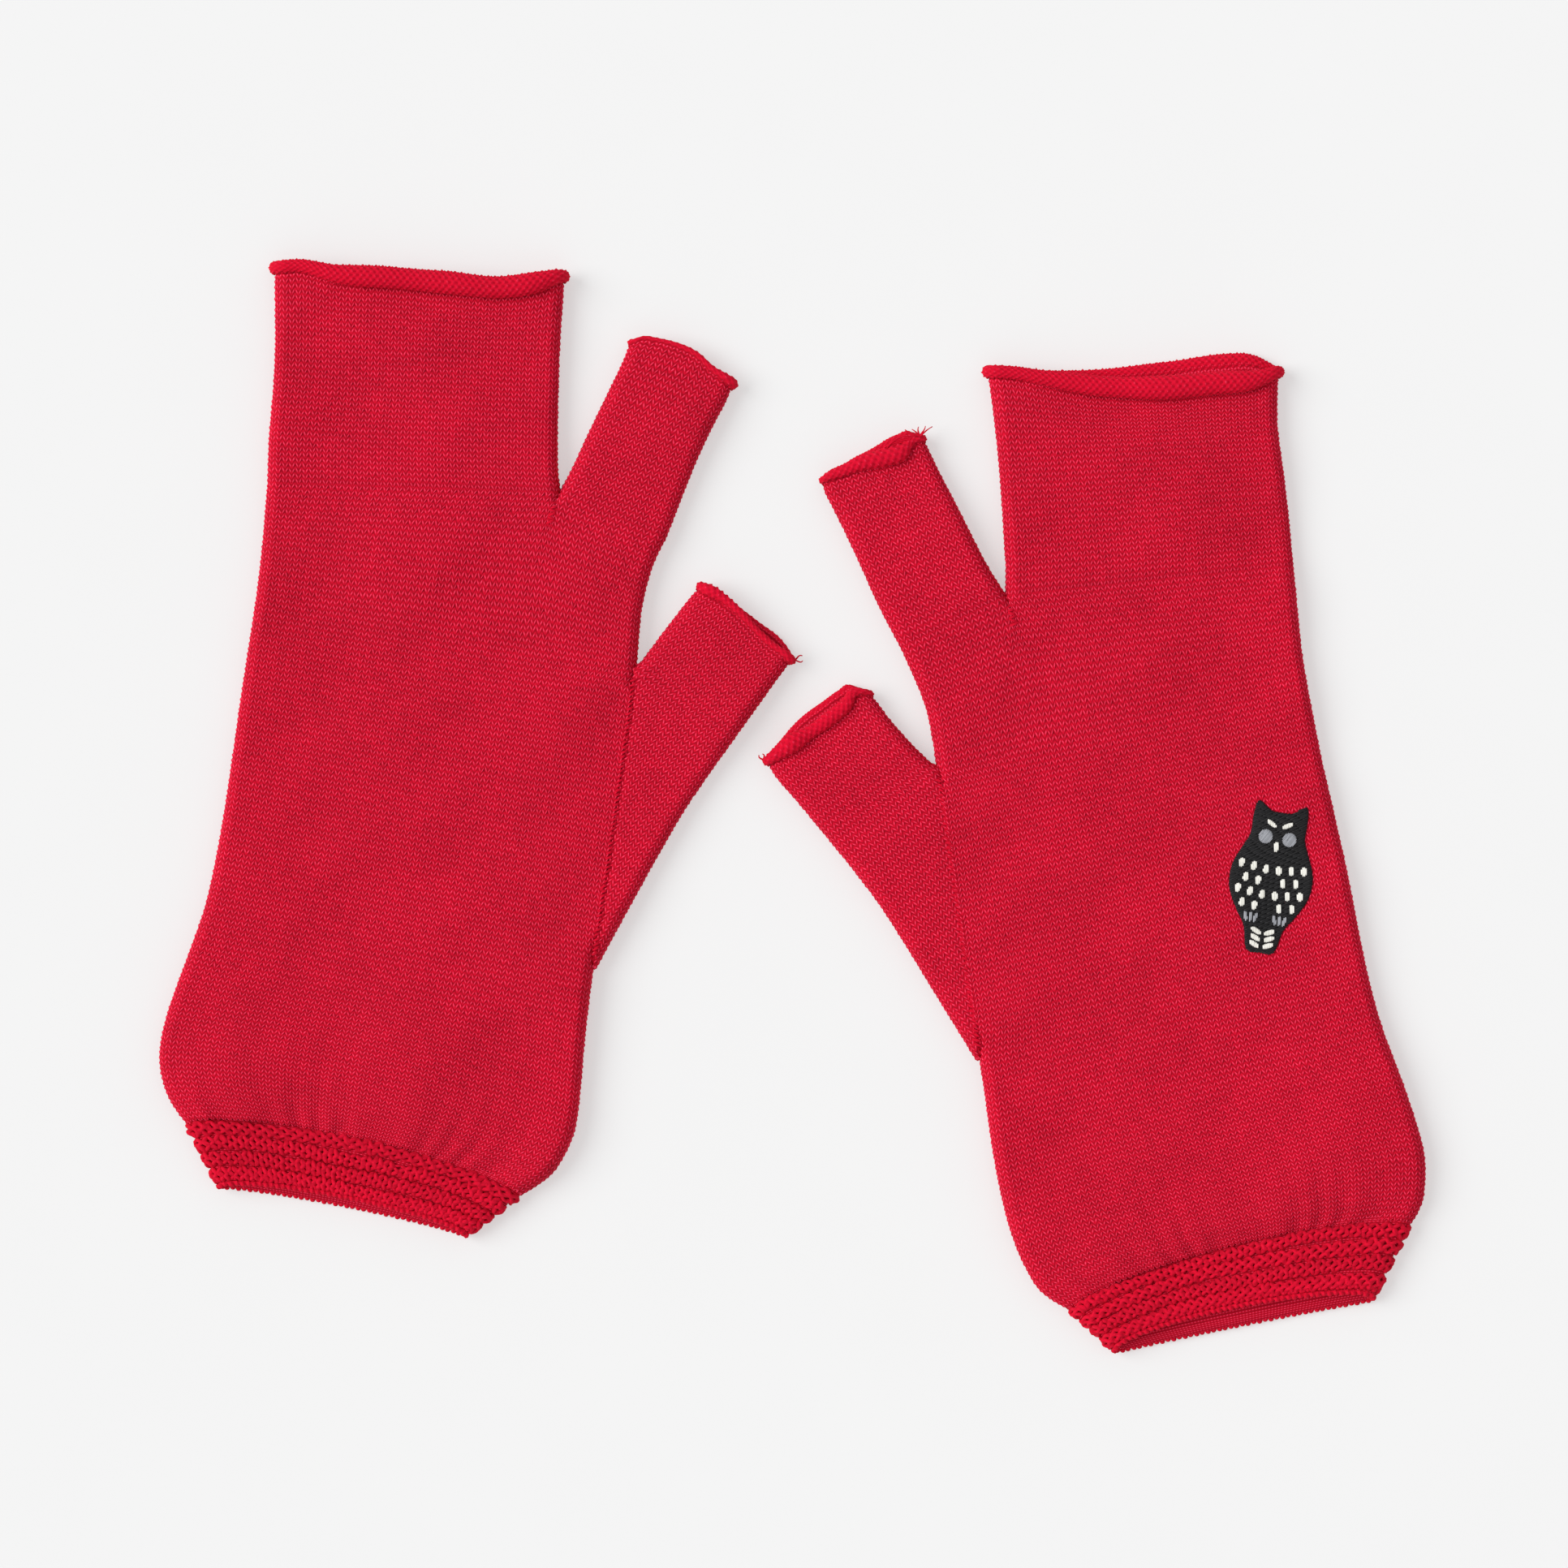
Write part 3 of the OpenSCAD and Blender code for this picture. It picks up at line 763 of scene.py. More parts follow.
def thumb_surface(side, share, layer, along):
    """Points of a thumb from its long fold to its inside, which are pinned, and the hem's roll."""
    long, short = thumb_folds(side)
    inside, begins = thumb_inside(side)
    tip = inside[-1] - long[-1]
    reach = tip / np.linalg.norm(tip)
    climb = ahead(tip) * (-1 if side == "left" else 1)
    edge = spline(long, along)
    wide = np.interp(edge @ climb, inside @ climb, inside @ reach) - edge @ reach
    wide = np.maximum(wide, NARROWEST)
    begin = (0, np.interp(edge @ climb, inside @ climb, begins))
    around, _ = cloth_across(wide, begin)
    thin = wide < FOLD
    around = np.where(thin, FOLD * np.arccos(1 - np.minimum(wide, FOLD) / FOLD), around)
    above = (edge - short[0]) @ climb > 0
    gauge = around.ravel()[np.argmin(np.abs((edge - short[0]) @ climb))]
    at = share * np.where(above, around, np.maximum(around, gauge))
    pinned = (at >= around) & ~above
    at = np.minimum(at, around)
    across, rise = fold_shape(at, around, wide, begin)
    across = np.where(thin, FOLD * (1 - np.cos(at / FOLD)), across)
    thin_rise = np.minimum(np.sin(at / FOLD), np.sin(begin[1] + (around - at) / FOLD))
    rise = np.where(thin, thin_rise, rise)
    plan = edge + reach * across[..., None]
    from_end = (1 - along) * length(long)
    left_to_right = 1 - across / wide if side == "left" else across / wide
    plan, roll = hem_reach(side, "thumb", plan, left_to_right, rise, layer, from_end)
    near = 1 - smooth(from_end / LIFT_RUN)
    dip = SEAM_DIP[side] * smooth(1 - (wide - across) / DIP_RUN) * np.sin(begin[1])
    centre, squeeze = CENTRE + near * HEM_LIFT * roll, 1 - HEM_LIFT * near
    return lift(side, plan, rise, layer, centre, squeeze, extra=-dip), pinned, roll


# %% Knit the thumbs
def knit_cut_piece(name, points, relief, pinned, flip):
    """A closed shell from the part of a round grid that isn't pinned."""
    rows, columns = relief.shape
    normal = facing(points, closed=True) * (-1 if flip else 1)
    stuck, height = pinned[..., None], points[..., 2] - CENTRE
    under = np.sign(height) * np.minimum(LAYER, 0.8 * np.abs(height))
    outside = np.where(stuck, points, points + normal * (relief * LEG_HEIGHT)[..., None])
    below = points - under[..., None] * np.array([0, 0, 1])
    inside = np.where(stuck, below, points - normal * LAYER)
    grid = np.arange(rows * columns).reshape(rows, columns)
    right = np.roll(grid, -1, axis=1)
    quads = np.stack([grid[:-1], right[:-1], right[1:], grid[1:]], -1).reshape(-1, 4)
    quads = quads[~pinned.ravel()[quads].all(axis=1)]
    quads = quads[:, ::-1] if flip else quads
    sides = {(int(a), int(b)) for k in range(4)
             for a, b in zip(quads[:, k], quads[:, (k + 1) % 4])}
    rim_edges = np.array(sorted((a, b) for a, b in sides if (b, a) not in sides))
    a, b = rim_edges.T
    wall = np.stack([b, a, a + grid.size, b + grid.size], -1)
    faces = np.concatenate([quads, quads[:, ::-1] + grid.size, wall])
    used, faces = np.unique(faces, return_inverse=True)
    vertices = np.concatenate([outside.reshape(-1, 3), inside.reshape(-1, 3)])[used]
    wale, course, tone = (np.tile(mark.ravel(), 2)[used] for mark in stitch_marks(rows, columns))
    add_piece(name, vertices, faces.reshape(-1, 4).tolist(), flat=len(wall),
              wale=wale, course=course, tone=tone)


def make_thumb(side):
    run = length(thumb_folds(side)[0])
    knitted = run - ROLL["thumb"]
    courses = round(knitted / COURSE)
    inside, _ = thumb_inside(side)
    wide = np.linalg.norm(inside[-1] - thumb_folds(side)[0][-1])
    wales = round((wide + (math.pi - 2) * FOLD) / WALE)
    column, course = stitch_grid(2 * wales, courses, straight=3)
    column, course = column[:-1], course[:, :-1]
    step = np.broadcast_to(column - wales * COLUMNS, course.shape) / (wales * COLUMNS)
    along = course * knitted / courses / run
    points, pinned, _ = thumb_surface(side, np.abs(step), np.where(step >= 0, 1, -1), along)
    relief = stitch_relief(course.shape)
    knit_cut_piece(f"{side}_thumb_tube", points, relief, pinned, flip=side == "left")


for side in ("left", "right"):
    make_thumb(side)

# %% [markdown]
# ## Cords of yarn
#
# Ridges, chains, seam stitches and loose ends are all yarn seen close up, so one helper sweeps a
# round section along a path. Two soft ribs wind round the section, as on yarn with two plies.
# Many short cords share one mesh, because a seam is one thing and not forty.

# %% Sweeping yarn
PLY_TURN = 3.2       # mm of yarn for one turn of its plies
PLY_HEIGHT = 0.13    # how far the plies stand out, as a share of the yarn's radius


def cord(path, outward, radius, sides=8, closed=False):
    """Points, faces and plies of a cord along a path. Outward is a vector square to the path."""
    path, n = np.asarray(path, float), len(path)
    if closed:
        along = np.roll(path, -1, axis=0) - np.roll(path, 1, axis=0)
    else:
        along = np.gradient(path, axis=0)
    along = unit(along)
    outward = np.broadcast_to(np.asarray(outward, float), path.shape)
    up = unit(outward - along * (outward * along).sum(axis=1, keepdims=True))
    beside = np.cross(along, up)
    steps = np.linalg.norm(np.diff(path, axis=0), axis=1)
    travelled = np.concatenate([[0], np.cumsum(steps)])
    turn = np.arange(sides) * 2 * math.pi / sides
    ply = np.cos(2 * turn[None, :] - travelled[:, None] * 2 * math.pi / PLY_TURN)
    size = np.broadcast_to(np.asarray(radius, float), (n,))[:, None] * (1 + PLY_HEIGHT * ply)
    ring = up[:, None] * np.cos(turn)[:, None] + beside[:, None] * np.sin(turn)[:, None]
    points = path[:, None] + ring * size[..., None]
    last = n if closed else n - 1
    faces = []
    for i in range(last):
        here, after = i * sides, (i + 1) % n * sides
        for j in range(sides):
            k = (j + 1) % sides
            faces.append([here + j, here + k, after + k, after + j])
    if not closed:
        faces += [list(range(sides - 1, -1, -1)), [(n - 1) * sides + j for j in range(sides)]]
    return points.reshape(-1, 3), faces, 0.5 + 0.5 * ply.ravel()


def add_cords(name, cords):
    """One object made of many cords."""
    points, faces, plies, tones, count = [], [], [], [], 0
    for path_points, path_faces, ply in cords:
        points.append(path_points)
        faces += [[i + count for i in face] for face in path_faces]
        plies.append(ply)
        tones.append(np.full(len(path_points), dice.random()))
        count += len(path_points)
    ply, tone = np.concatenate(plies), np.concatenate(tones)
    return add_piece(name, np.concatenate(points), faces, ply=ply, tone=tone)


def stitch(a, b, outward, rise, radius):
    """A short stitch that comes out of the cloth at a and goes back in at b."""
    a, b, outward = (np.asarray(v, float) for v in (a, b, outward))
    t = np.linspace(0, 1, 6)
    arch_up = (np.sin(math.pi * t) ** 0.7)[:, None] * rise - 0.25
    path = a + (b - a) * t[:, None] + outward * arch_up
    return cord(path, outward, radius * np.array([0.6, 0.95, 1, 1, 0.95, 0.6]), 6)


# %% [markdown]
# ## Rolled hems
#
# The last courses of each sleeve curl outward and show their purl side, which is rows of small
# bumps, each half a stitch away from its neighbours. The roll is a ring swept round the sleeve's
# edge, and a chain of cast-off loops runs along the line where it meets the sleeve.

# %% Rim of a sleeve
PURL = 0.62          # height of the purl bumps, in mm
HEM_GRID = 6         # mesh columns in a wale, and mesh rows in a course
SINK = 0.7           # how far a roll sits in the sleeve's edge
FLATNESS = 0.72      # a roll is lower than it is wide
THUMB_WALES = 20     # across a thumb's hem
PURL_COURSE = 1.2    # height of a course on the roll, in mm
FULL_BUMPS = 1.5     # rolls thinner than this have lower bumps
CHAIN_AT = math.radians(252)     # how far round the roll its chain lies
CHAIN_RADIUS = 0.34


def rim(side, part, count):
    """Points round a sleeve's far edge, the outward and forward directions there, and the roll."""
    loop = np.arange(count) / count
    share, layer = 1 - np.abs(1 - 2 * loop), np.where(loop <= 0.5, 1, -1)
    surface = thumb_surface if part == "thumb" else sleeve_surface
    run = length(thumb_folds(side)[0]) if part == "thumb" else sleeve_length(side, part)
    end = 1 - ROLL[part] / run
    which = (side,) if part == "thumb" else (side, part)
    (edge, *_, roll), (behind, *_) = (surface(*which, share, layer, np.full(count, along))
                                      for along in (end, end - 1.5 / run))
    forward = unit(edge - behind)
    forward[:, 2] = 0
    round_rim = unit(np.roll(edge, -1, axis=0) - np.roll(edge, 1, axis=0))
    outward = unit(np.cross(round_rim, unit(forward)))
    outward = outward * np.sign(outward[count // 4, 2])
    return edge, outward, unit(forward), roll


# %% Make the hems
def make_hem(side, part, wales, name):
    count = 2 * wales * HEM_GRID
    edge, outward, forward, roll = rim(side, part, count)
    roll = roll * (1 + 0.05 * np.sin(np.arange(count) * 2 * math.pi * 7 / count + wales))
    tall = roll * FLATNESS + 0.25
    courses = max(4, round(2 * math.pi * float(np.mean(roll)) * 0.87 / PURL_COURSE))
    turn = np.arange(courses * HEM_GRID) * 2 * math.pi / (courses * HEM_GRID)
    wale = np.arange(count) / HEM_GRID
    bump = 0.5 + 0.5 * np.cos(2 * math.pi * wale)[None, :] * np.cos(courses * turn)[:, None]
    bump = bump * dice.normal(1, 0.12, bump.shape)
    rise, reach = (-np.cos(turn))[:, None, None], np.sin(turn)[:, None, None]
    out_by = (tall * (1 - np.cos(turn))[:, None] - SINK)[..., None]
    ahead_by = (roll * np.sin(turn)[:, None])[..., None]
    normal = unit(rise * outward[None] * roll[:, None] + reach * forward[None] * tall[:, None])
    points = edge[None] + outward[None] * out_by + forward[None] * ahead_by
    points = points + normal * (bump * PURL * np.minimum(roll / FULL_BUMPS, 1))[..., None]
    rows = len(turn)
    grid = np.arange(rows * count).reshape(rows, count)
    right, above = np.roll(grid, -1, axis=1), np.roll(grid, -1, axis=0)
    corner = np.roll(above, -1, axis=1)
    faces = np.stack([grid, above, corner, right], -1).reshape(-1, 4)
    first_face = np.cross(points[0, 1] - points[0, 0], points[1, 0] - points[0, 0])
    inside_out = np.sum(first_face * normal[0, 0]) > 0
    faces = (faces[:, ::-1] if inside_out else faces).tolist()
    tone = dice.random(bump.shape).ravel()
    add_piece(name, points.reshape(-1, 3), faces, bump=np.clip(bump, 0, 1).ravel(), tone=tone)
    chain = edge + outward * (tall * (1 - math.cos(CHAIN_AT)) - SINK)[:, None]
    wave = 0.22 * np.cos(2 * math.pi * wale)
    chain = chain + forward * (roll * math.sin(CHAIN_AT) + wave)[:, None]
    radius = CHAIN_RADIUS + 0.05 * np.cos(4 * math.pi * wale)
    add_cords(f"{name}_chain", [cord(chain, outward, radius, 6, closed=True)])


for side in ("left", "right"):
    make_hem(side, "fingers", FINGER_WALES, f"{side}_finger_roll")
    make_hem(side, "index", HAND_WALES - FINGER_WALES, f"{side}_index_roll")
    make_hem(side, "thumb", THUMB_WALES, f"{side}_thumb_roll")

# %% [markdown]
# ## Cuffs
#
# The cuff is knitted in bands of purl courses, which pull together into thick ridges. Each ridge
# is a net of three wavy yarns: where two of them touch there is a bump, and where they part there
# is a dark hole. They go round the whole cuff over a plain sheet. The sheet's lower layer comes out
# a little below the upper one, and a beaded edge closes it.

# %% Surface of a cuff
RIDGES = 4
RIDGE = 3.95         # from one ridge to the next, in mm
CUFF_DEPTH = RIDGES * RIDGE
CUFF_WALE = 3.05     # width of the cuff's large stitches
CUFF_HALF = 2.1      # from the middle of the cuff to its sheet's surface
ARCHES = {"left": (3.4, 1.7), "right": (4.3, 0.6)}      # bow of each layer's end, upper and lower
SPILL = {"left": 1.2, "right": 2.6}      # how far the lower layer comes out below


def cuff_surface(side, loop, down):
    """Points round a cuff at a distance down from its top, with the outward direction there."""
    left, right = folds[side, "cuff"]
    run = (length(left) + length(right)) / 2
    along = down / CUFF_DEPTH
    start, end = (fold[0] + (fold[1] - fold[0]) * (down / run)[..., None] for fold in (left, right))
    wide = np.linalg.norm(end - start, axis=-1)
    share, layer = 1 - np.abs(1 - 2 * loop), np.where(loop <= 0.5, 1, -1)
    across, rise = section(share, wide)
    near = 0.5 + 0.5 * layer * rise
    upper, lower = ARCHES[side]
    height = ARCH + (lower + (upper - lower) * near - ARCH) * smooth(along)
    spilt = SPILL[side] * (1 - near) * smooth((along - 0.7) / 0.3) * 0.5
    bow = arch(across / wide, height) - spilt
    plan = start + (end - start) * (across / wide)[..., None] + bow[..., None] * to_fingers(side)
    z = CENTRE - 0.1 + rise * layer * (CUFF_HALF + 0.3 * np.sin(plan[..., 0] / 9) * (layer > 0))
    points = np.concatenate([plan, z[..., None]], axis=-1)
    sideways = unit(end - start) * (2 * (share > 0.5) - 1)[..., None]
    out = np.concatenate([sideways * (1 - rise)[..., None], (rise * layer)[..., None]], axis=-1)
    return points, unit(out)


def cuff_loop(side, down, count):
    loop = np.arange(count) / count
    return cuff_surface(side, loop, np.broadcast_to(down, (count,)))


# %% The sheet of a cuff
SHEET_TOP = 1.5      # the sheet starts this far above the cuff's top, inside the hand
SHEET_COURSE = 1.3
SHEET_ROWS = 66      # mesh rows


def cuff_wales(side):
    left, right = folds[side, "cuff"]
    return round((2 * np.linalg.norm(right[0] - left[0]) + 2 * (math.pi - 2) * FOLD) / CUFF_WALE)


def make_cuff_sheet(side, deep):
    wales = cuff_wales(side)
    columns, rows = wales * 6, SHEET_ROWS
    loop = np.broadcast_to(np.arange(columns) / columns, (rows, columns))
    down = np.broadcast_to(np.linspace(deep, -SHEET_TOP, rows)[:, None], (rows, columns))
    points, _ = cuff_surface(side, loop, down)
    stitches = np.cos(loop * 4 * math.pi * wales) * np.cos(down * 2 * math.pi / SHEET_COURSE)
    relief = 0.6 * (0.3 + 0.5 * stitches)
    knit_piece(f"{side}_cuff_sheet", points, relief, closed=True, inner_step=8)


# %% The ridges of a cuff
WAVE_STEPS = 10      # points along each wave of a ridge's yarn
WAVES = ((-0.98, -0.5), (0, 0.5), (0.98, -0.5))      # place and swing of its three yarns, in mm
RIDGE_YARN = 0.6     # radius


def make_ridges(side):
    cords = []
    wales = cuff_wales(side)
    theta = np.arange(wales * WAVE_STEPS) * 2 * math.pi / WAVE_STEPS
    for ridge in range(RIDGES):
        shift = dice.uniform(0, 2 * math.pi)
        wander = 0.25 * np.sin(theta / wales * 3 + shift)
        for base, swing in WAVES:
            uneven = dice.normal(1, 0.2, wales).repeat(WAVE_STEPS)
            off_middle = base + swing * np.cos(theta + shift) * uneven
            down = RIDGE * (ridge + 0.5) + off_middle + wander
            path, out = cuff_loop(side, down, len(theta))
            proud = 0.85 - 0.28 * off_middle**2 + 0.12 * np.cos(theta * 2 + shift)
            path = path + out * proud[:, None]
            cords.append(cord(path, out, RIDGE_YARN * uneven**0.5, closed=True))
    add_cords(f"{side}_cuff_ridges", cords)


# %% The edge and the elastic of a cuff
BEAD_STEPS = 10      # points along each bead of the edge
EDGE_STEPS = 16      # points along the edge for each wale
ELASTIC = 0.28       # radius of a strand
ELASTIC_STEPS = 160


def make_edge_and_elastic(side, deep):
    beads, strands = [], []
    phase = np.arange(cuff_wales(side) * EDGE_STEPS) * 2 * math.pi / BEAD_STEPS
    for down in (deep, deep - 1.5):
        path, out = cuff_loop(side, down + 0.12 * np.cos(phase), len(phase))
        beads.append(cord(path + out * 0.15, out, 0.62 + 0.2 * np.cos(phase), closed=True))
    add_cords(f"{side}_cuff_edge", beads)
    for ridge in range(RIDGES):
        path, out = cuff_loop(side, RIDGE * (ridge + 0.5), ELASTIC_STEPS)
        strands.append(cord(path - out * 0.5, out, ELASTIC, closed=True))
    add_cords(f"{side}_elastic_strands", strands)


for side in ("left", "right"):
    deep = CUFF_DEPTH + SPILL[side] * 0.4
    make_cuff_sheet(side, deep)
    make_ridges(side)
    make_edge_and_elastic(side, deep)

# %% [markdown]
# ## Seams and loose ends
#
# The fork is closed with a few stitches that pull the cloth into a small dimple. The thumb is
# linked to the hand stitch by stitch. The thread is the same yarn, so it shows only as a slightly
# uneven line. At three hems the yarn was cut short and left, and its plies have come apart.

# %% Stitches that close the fork
FORK_STITCHES = 7
UP = (0, 0, 1)


def hand_top(side, plan, extra):
    """A point on the upper surface of the hand, raised by an extra height."""
    return np.array([*plan, CENTRE + top_height(side, np.asarray(plan, float)) + extra])


def make_fork_stitches(side):
    cords = []
    for k in range(FORK_STITCHES):
        back = np.array(1 - (2.0 + 0.8 * k) / length(folds[side, "hand"][0]))
        place = hand_surface(side, np.array(fork_share(side)), back, 1)[:2]
        tilt = np.array([1.0, 0.35 * (-1) ** k]) * (0.8 + 0.05 * k)
        sink = 0.1 - 1.5 * (1 - smooth((k + 0.5) / 3))
        a, b = (hand_top(side, place + s * tilt, sink) for s in (-1, 1))
        cords.append(stitch(a, b, UP, 0.5, 0.32))
    add_cords(f"{side}_fork_stitches", cords)


# %% Linking stitches along the thumb
def make_thumb_linking(side):
    join = joins[side]
    run = length(join["edge"])
    count = round((join["crotch"] - join["heel"]) * run / COURSE)
    way = np.linspace(join["heel"] + 4 / run, join["crotch"] - 3 / run, count)
    places = spline(join["edge"], way)
    along = unit(np.gradient(places, axis=0))
    beside = np.stack([along[:, 1], -along[:, 0]], 1) * (1 if side == "left" else -1)
    cords = []
    for k in range(count):
        low, high = dice.uniform(0.5, 0.9), dice.uniform(0.5, 1.0)
        a = places[k] - beside[k] * low - along[k] * 0.45
        b = places[k] + beside[k] * high + along[k] * 0.45
        a, b = hand_top(side, a, 0.15), hand_top(side, b, -0.05)
        cords.append(stitch(a, b, UP, dice.uniform(0.25, 0.5), 0.3))
    add_cords(f"{side}_thumb_linking", cords)


for side in ("left", "right"):
    make_fork_stitches(side)
    make_thumb_linking(side)


# %% Loose yarn ends
def yarn_end(start, heading, reach, plies, spread, curl):
    """A cut end of yarn: plies that start together and curl apart."""
    cords = []
    t = np.linspace(0, 1, 14)[:, None]
    heading = unit(np.asarray(heading, float))
    beside = unit(np.cross(heading, (0, 0, 1)))
    for k in range(plies):
        lean = (k - (plies - 1) / 2) * spread
        bow = beside * (lean * t + curl * (1 if k % 2 else -1) * np.sin(math.pi * t) * t)
        path = start + heading * t * reach * dice.uniform(0.75, 1.1) + bow
        path = path + np.array([0, 0, 0.5]) * np.sin(math.pi * t) * dice.uniform(0.2, 1)
        cords.append(cord(path, (0.2, 0.1, 1), np.linspace(0.26, 0.12, 14), 6))
    return cords


def hem_point(side, part, share):
    """A point on top of a hem's roll at a share from left to right."""
    edge, outward, forward, roll = rim(side, part, 400)
    flip = part == "thumb" and side == "left"
    i = round((1 - share if flip else share) * 199)
    return edge[i] + outward[i] * 0.8 + forward[i] * roll[i] * 0.6


# share along the hem, heading, length in mm, plies, and how far they spread and curl, in mm
loose_ends = {
    ("left", "thumb"): (1.0, (1.0, 0.25, 0), 2.2, 2, 1.2, 0.7),
    ("right", "index"): (0.93, (-0.1, 1, 0.1), 2.3, 5, 1.7, 0.4),
    ("right", "thumb"): (0.0, (-0.5, 1, 0), 2.0, 2, 0.9, 0.6),
}
for (side, part), (share, heading, reach, plies, spread, curl) in loose_ends.items():
    cords = yarn_end(hem_point(side, part, share), heading, reach, plies, spread, curl)
    if (side, part) == ("right", "index"):      # this hem also has a few slack threads across it
        for k in range(4):
            a, b = (hem_point(side, part, share) for share in (0.45 + 0.05 * k, 0.86 + 0.02 * k))
            t = np.linspace(0, 1, 12)[:, None]
            bow = np.array([-0.4, 0.9, 0.25]) * np.sin(math.pi * t) * (0.3 + 0.5 * k)
            cords.append(cord(a + (b - a) * t + bow, UP, 0.2, 6))
    add_cords(f"{side}_{part}_loose_end", cords)

# %% [markdown]
# ## The owl
#
# The owl on the right glove is machine embroidery: satin stitches laid side by side over a soft
# backing. The CAD has the outline of each patch of one colour. Each patch is filled here with
# threads: lines cross it at an even pitch, and each line is cut into stitches a few mm long, which
# start at a different place on the next line, as an embroidery machine does it.

# %% Fill a patch with stitches
LEAN = math.radians(-9)      # the owl leans with the back of the hand
THREAD_END = 0.08    # a row of thread reaches this far past the outline, in mm
SHORTEST = 0.15      # and rows shorter than this are left out


def top_outline(node):
    """The edges round the top faces of a flat CAD solid, in mm, as an array of pairs of points."""
    mesh = frame["nodes"][node].data
    co = np.array([v.co for v in mesh.vertices], float) / MM
    seen = {}
    for face in mesh.polygons:
        if face.normal.z > 0.9:
            loop = [tuple(co[i, :2].round(3)) for i in face.vertices]
            for a, b in zip(loop, loop[1:] + loop[:1]):
                key = (min(a, b), max(a, b))
                seen[key] = seen.get(key, 0) + 1
    return np.array([key for key, times in seen.items() if times == 1])


def satin(outline, heading, pitch, longest, radius, over):
    """Cords that fill an outline with threads along a heading, at a height over the cloth."""
    along = np.array([math.cos(heading), math.sin(heading)])
    square = np.array([-along[1], along[0]])
    u, v = outline @ along, outline @ square
    cords = []
    for row, level in enumerate(np.arange(v.min() + pitch / 2, v.max(), pitch)):
        cut = (v[:, 0] > level) != (v[:, 1] > level)
        a, b = u[cut], v[cut]
        crossings = np.sort(a[:, 0] + (a[:, 1] - a[:, 0]) * (level - b[:, 0]) / (b[:, 1] - b[:, 0]))
        for low, high in zip(crossings[::2], crossings[1::2]):
            if high - low < SHORTEST:
                continue
            shift = (row * 0.37 % 1) * longest
            inner = [c for c in np.arange(low + shift, high, longest) if low + 1 < c < high - 1]
            stops = [low - THREAD_END, *inner, high + THREAD_END]
            for start, end in zip(stops, stops[1:]):
                t = np.linspace(0, 1, 6)
                flat = (start + (end - start) * t)[:, None] * along + level * square
                top = CENTRE + top_height("right", flat) + over
                top = top + 0.12 * np.sin(math.pi * t) ** 0.5 + dice.normal(0, 0.015) - 0.06
                cords.append(cord(np.column_stack([flat, top]), UP, radius, 6))
    return cords


# %% Stitch the owl
cloth_top = LEG_HEIGHT * 0.75
# patch, heading, and in mm: pitch of the rows, longest stitch, radius of the thread, height
for node, heading, pitch, longest, radius, over in (
        ("owl_ground", LEAN + math.radians(28), 0.34, 4.6, 0.2, 0.1),
        ("owl_flecks", LEAN + math.radians(100), 0.36, 6.0, 0.22, 0.38),
        ("owl_eyes", LEAN + math.radians(60), 0.3, 6.0, 0.17, 0.4),
        ("owl_claws", LEAN + math.radians(95), 0.34, 6.0, 0.2, 0.36)):
    outline = top_outline(node)
    cords = satin(outline, heading, pitch, longest, radius, cloth_top + over)
    add_cords(f"right_{node}_thread", cords)

# %% The soft backing inside the glove
BACKING = 0.3        # its thickness, in mm
low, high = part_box("owl_ground")
owl_middle, owl_half = xy((low + high) / 2), xy((high - low) / 2)
turn = np.linspace(0, 2 * math.pi, 49)[:-1]
wide, tall = owl_half * (0.8, 0.93)      # the backing stays inside the owl's outline
rings = [np.column_stack([wide * size * np.cos(turn), tall * size * np.sin(turn)])
         for size in np.linspace(0.06, 1, 9)]
tilt = np.array([[math.cos(LEAN), math.sin(LEAN)], [-math.sin(LEAN), math.cos(LEAN)]])
patch = np.concatenate(rings) @ tilt + owl_middle
under = CENTRE + top_height("right", patch) - LAYER - 0.12
layers = [np.column_stack([patch, under - drop]) for drop in (0, BACKING)]
count, around_patch = len(patch), len(turn)
faces = [list(range(around_patch)), [count + i for i in reversed(range(around_patch))]]
for ring in range(len(rings) - 1):
    for i in range(around_patch):
        a, b = ring * around_patch + i, ring * around_patch + (i + 1) % around_patch
        faces.append([a, a + around_patch, b + around_patch, b])
        faces.append([count + b, count + b + around_patch, count + a + around_patch, count + a])
edge_start = (len(rings) - 1) * around_patch
for i in range(around_patch):
    a, b = edge_start + i, edge_start + (i + 1) % around_patch
    faces.append([a, count + a, count + b, b])
add_piece("right_owl_soft_backing", np.concatenate(layers), faces, tone=np.full(2 * count, 0.5))
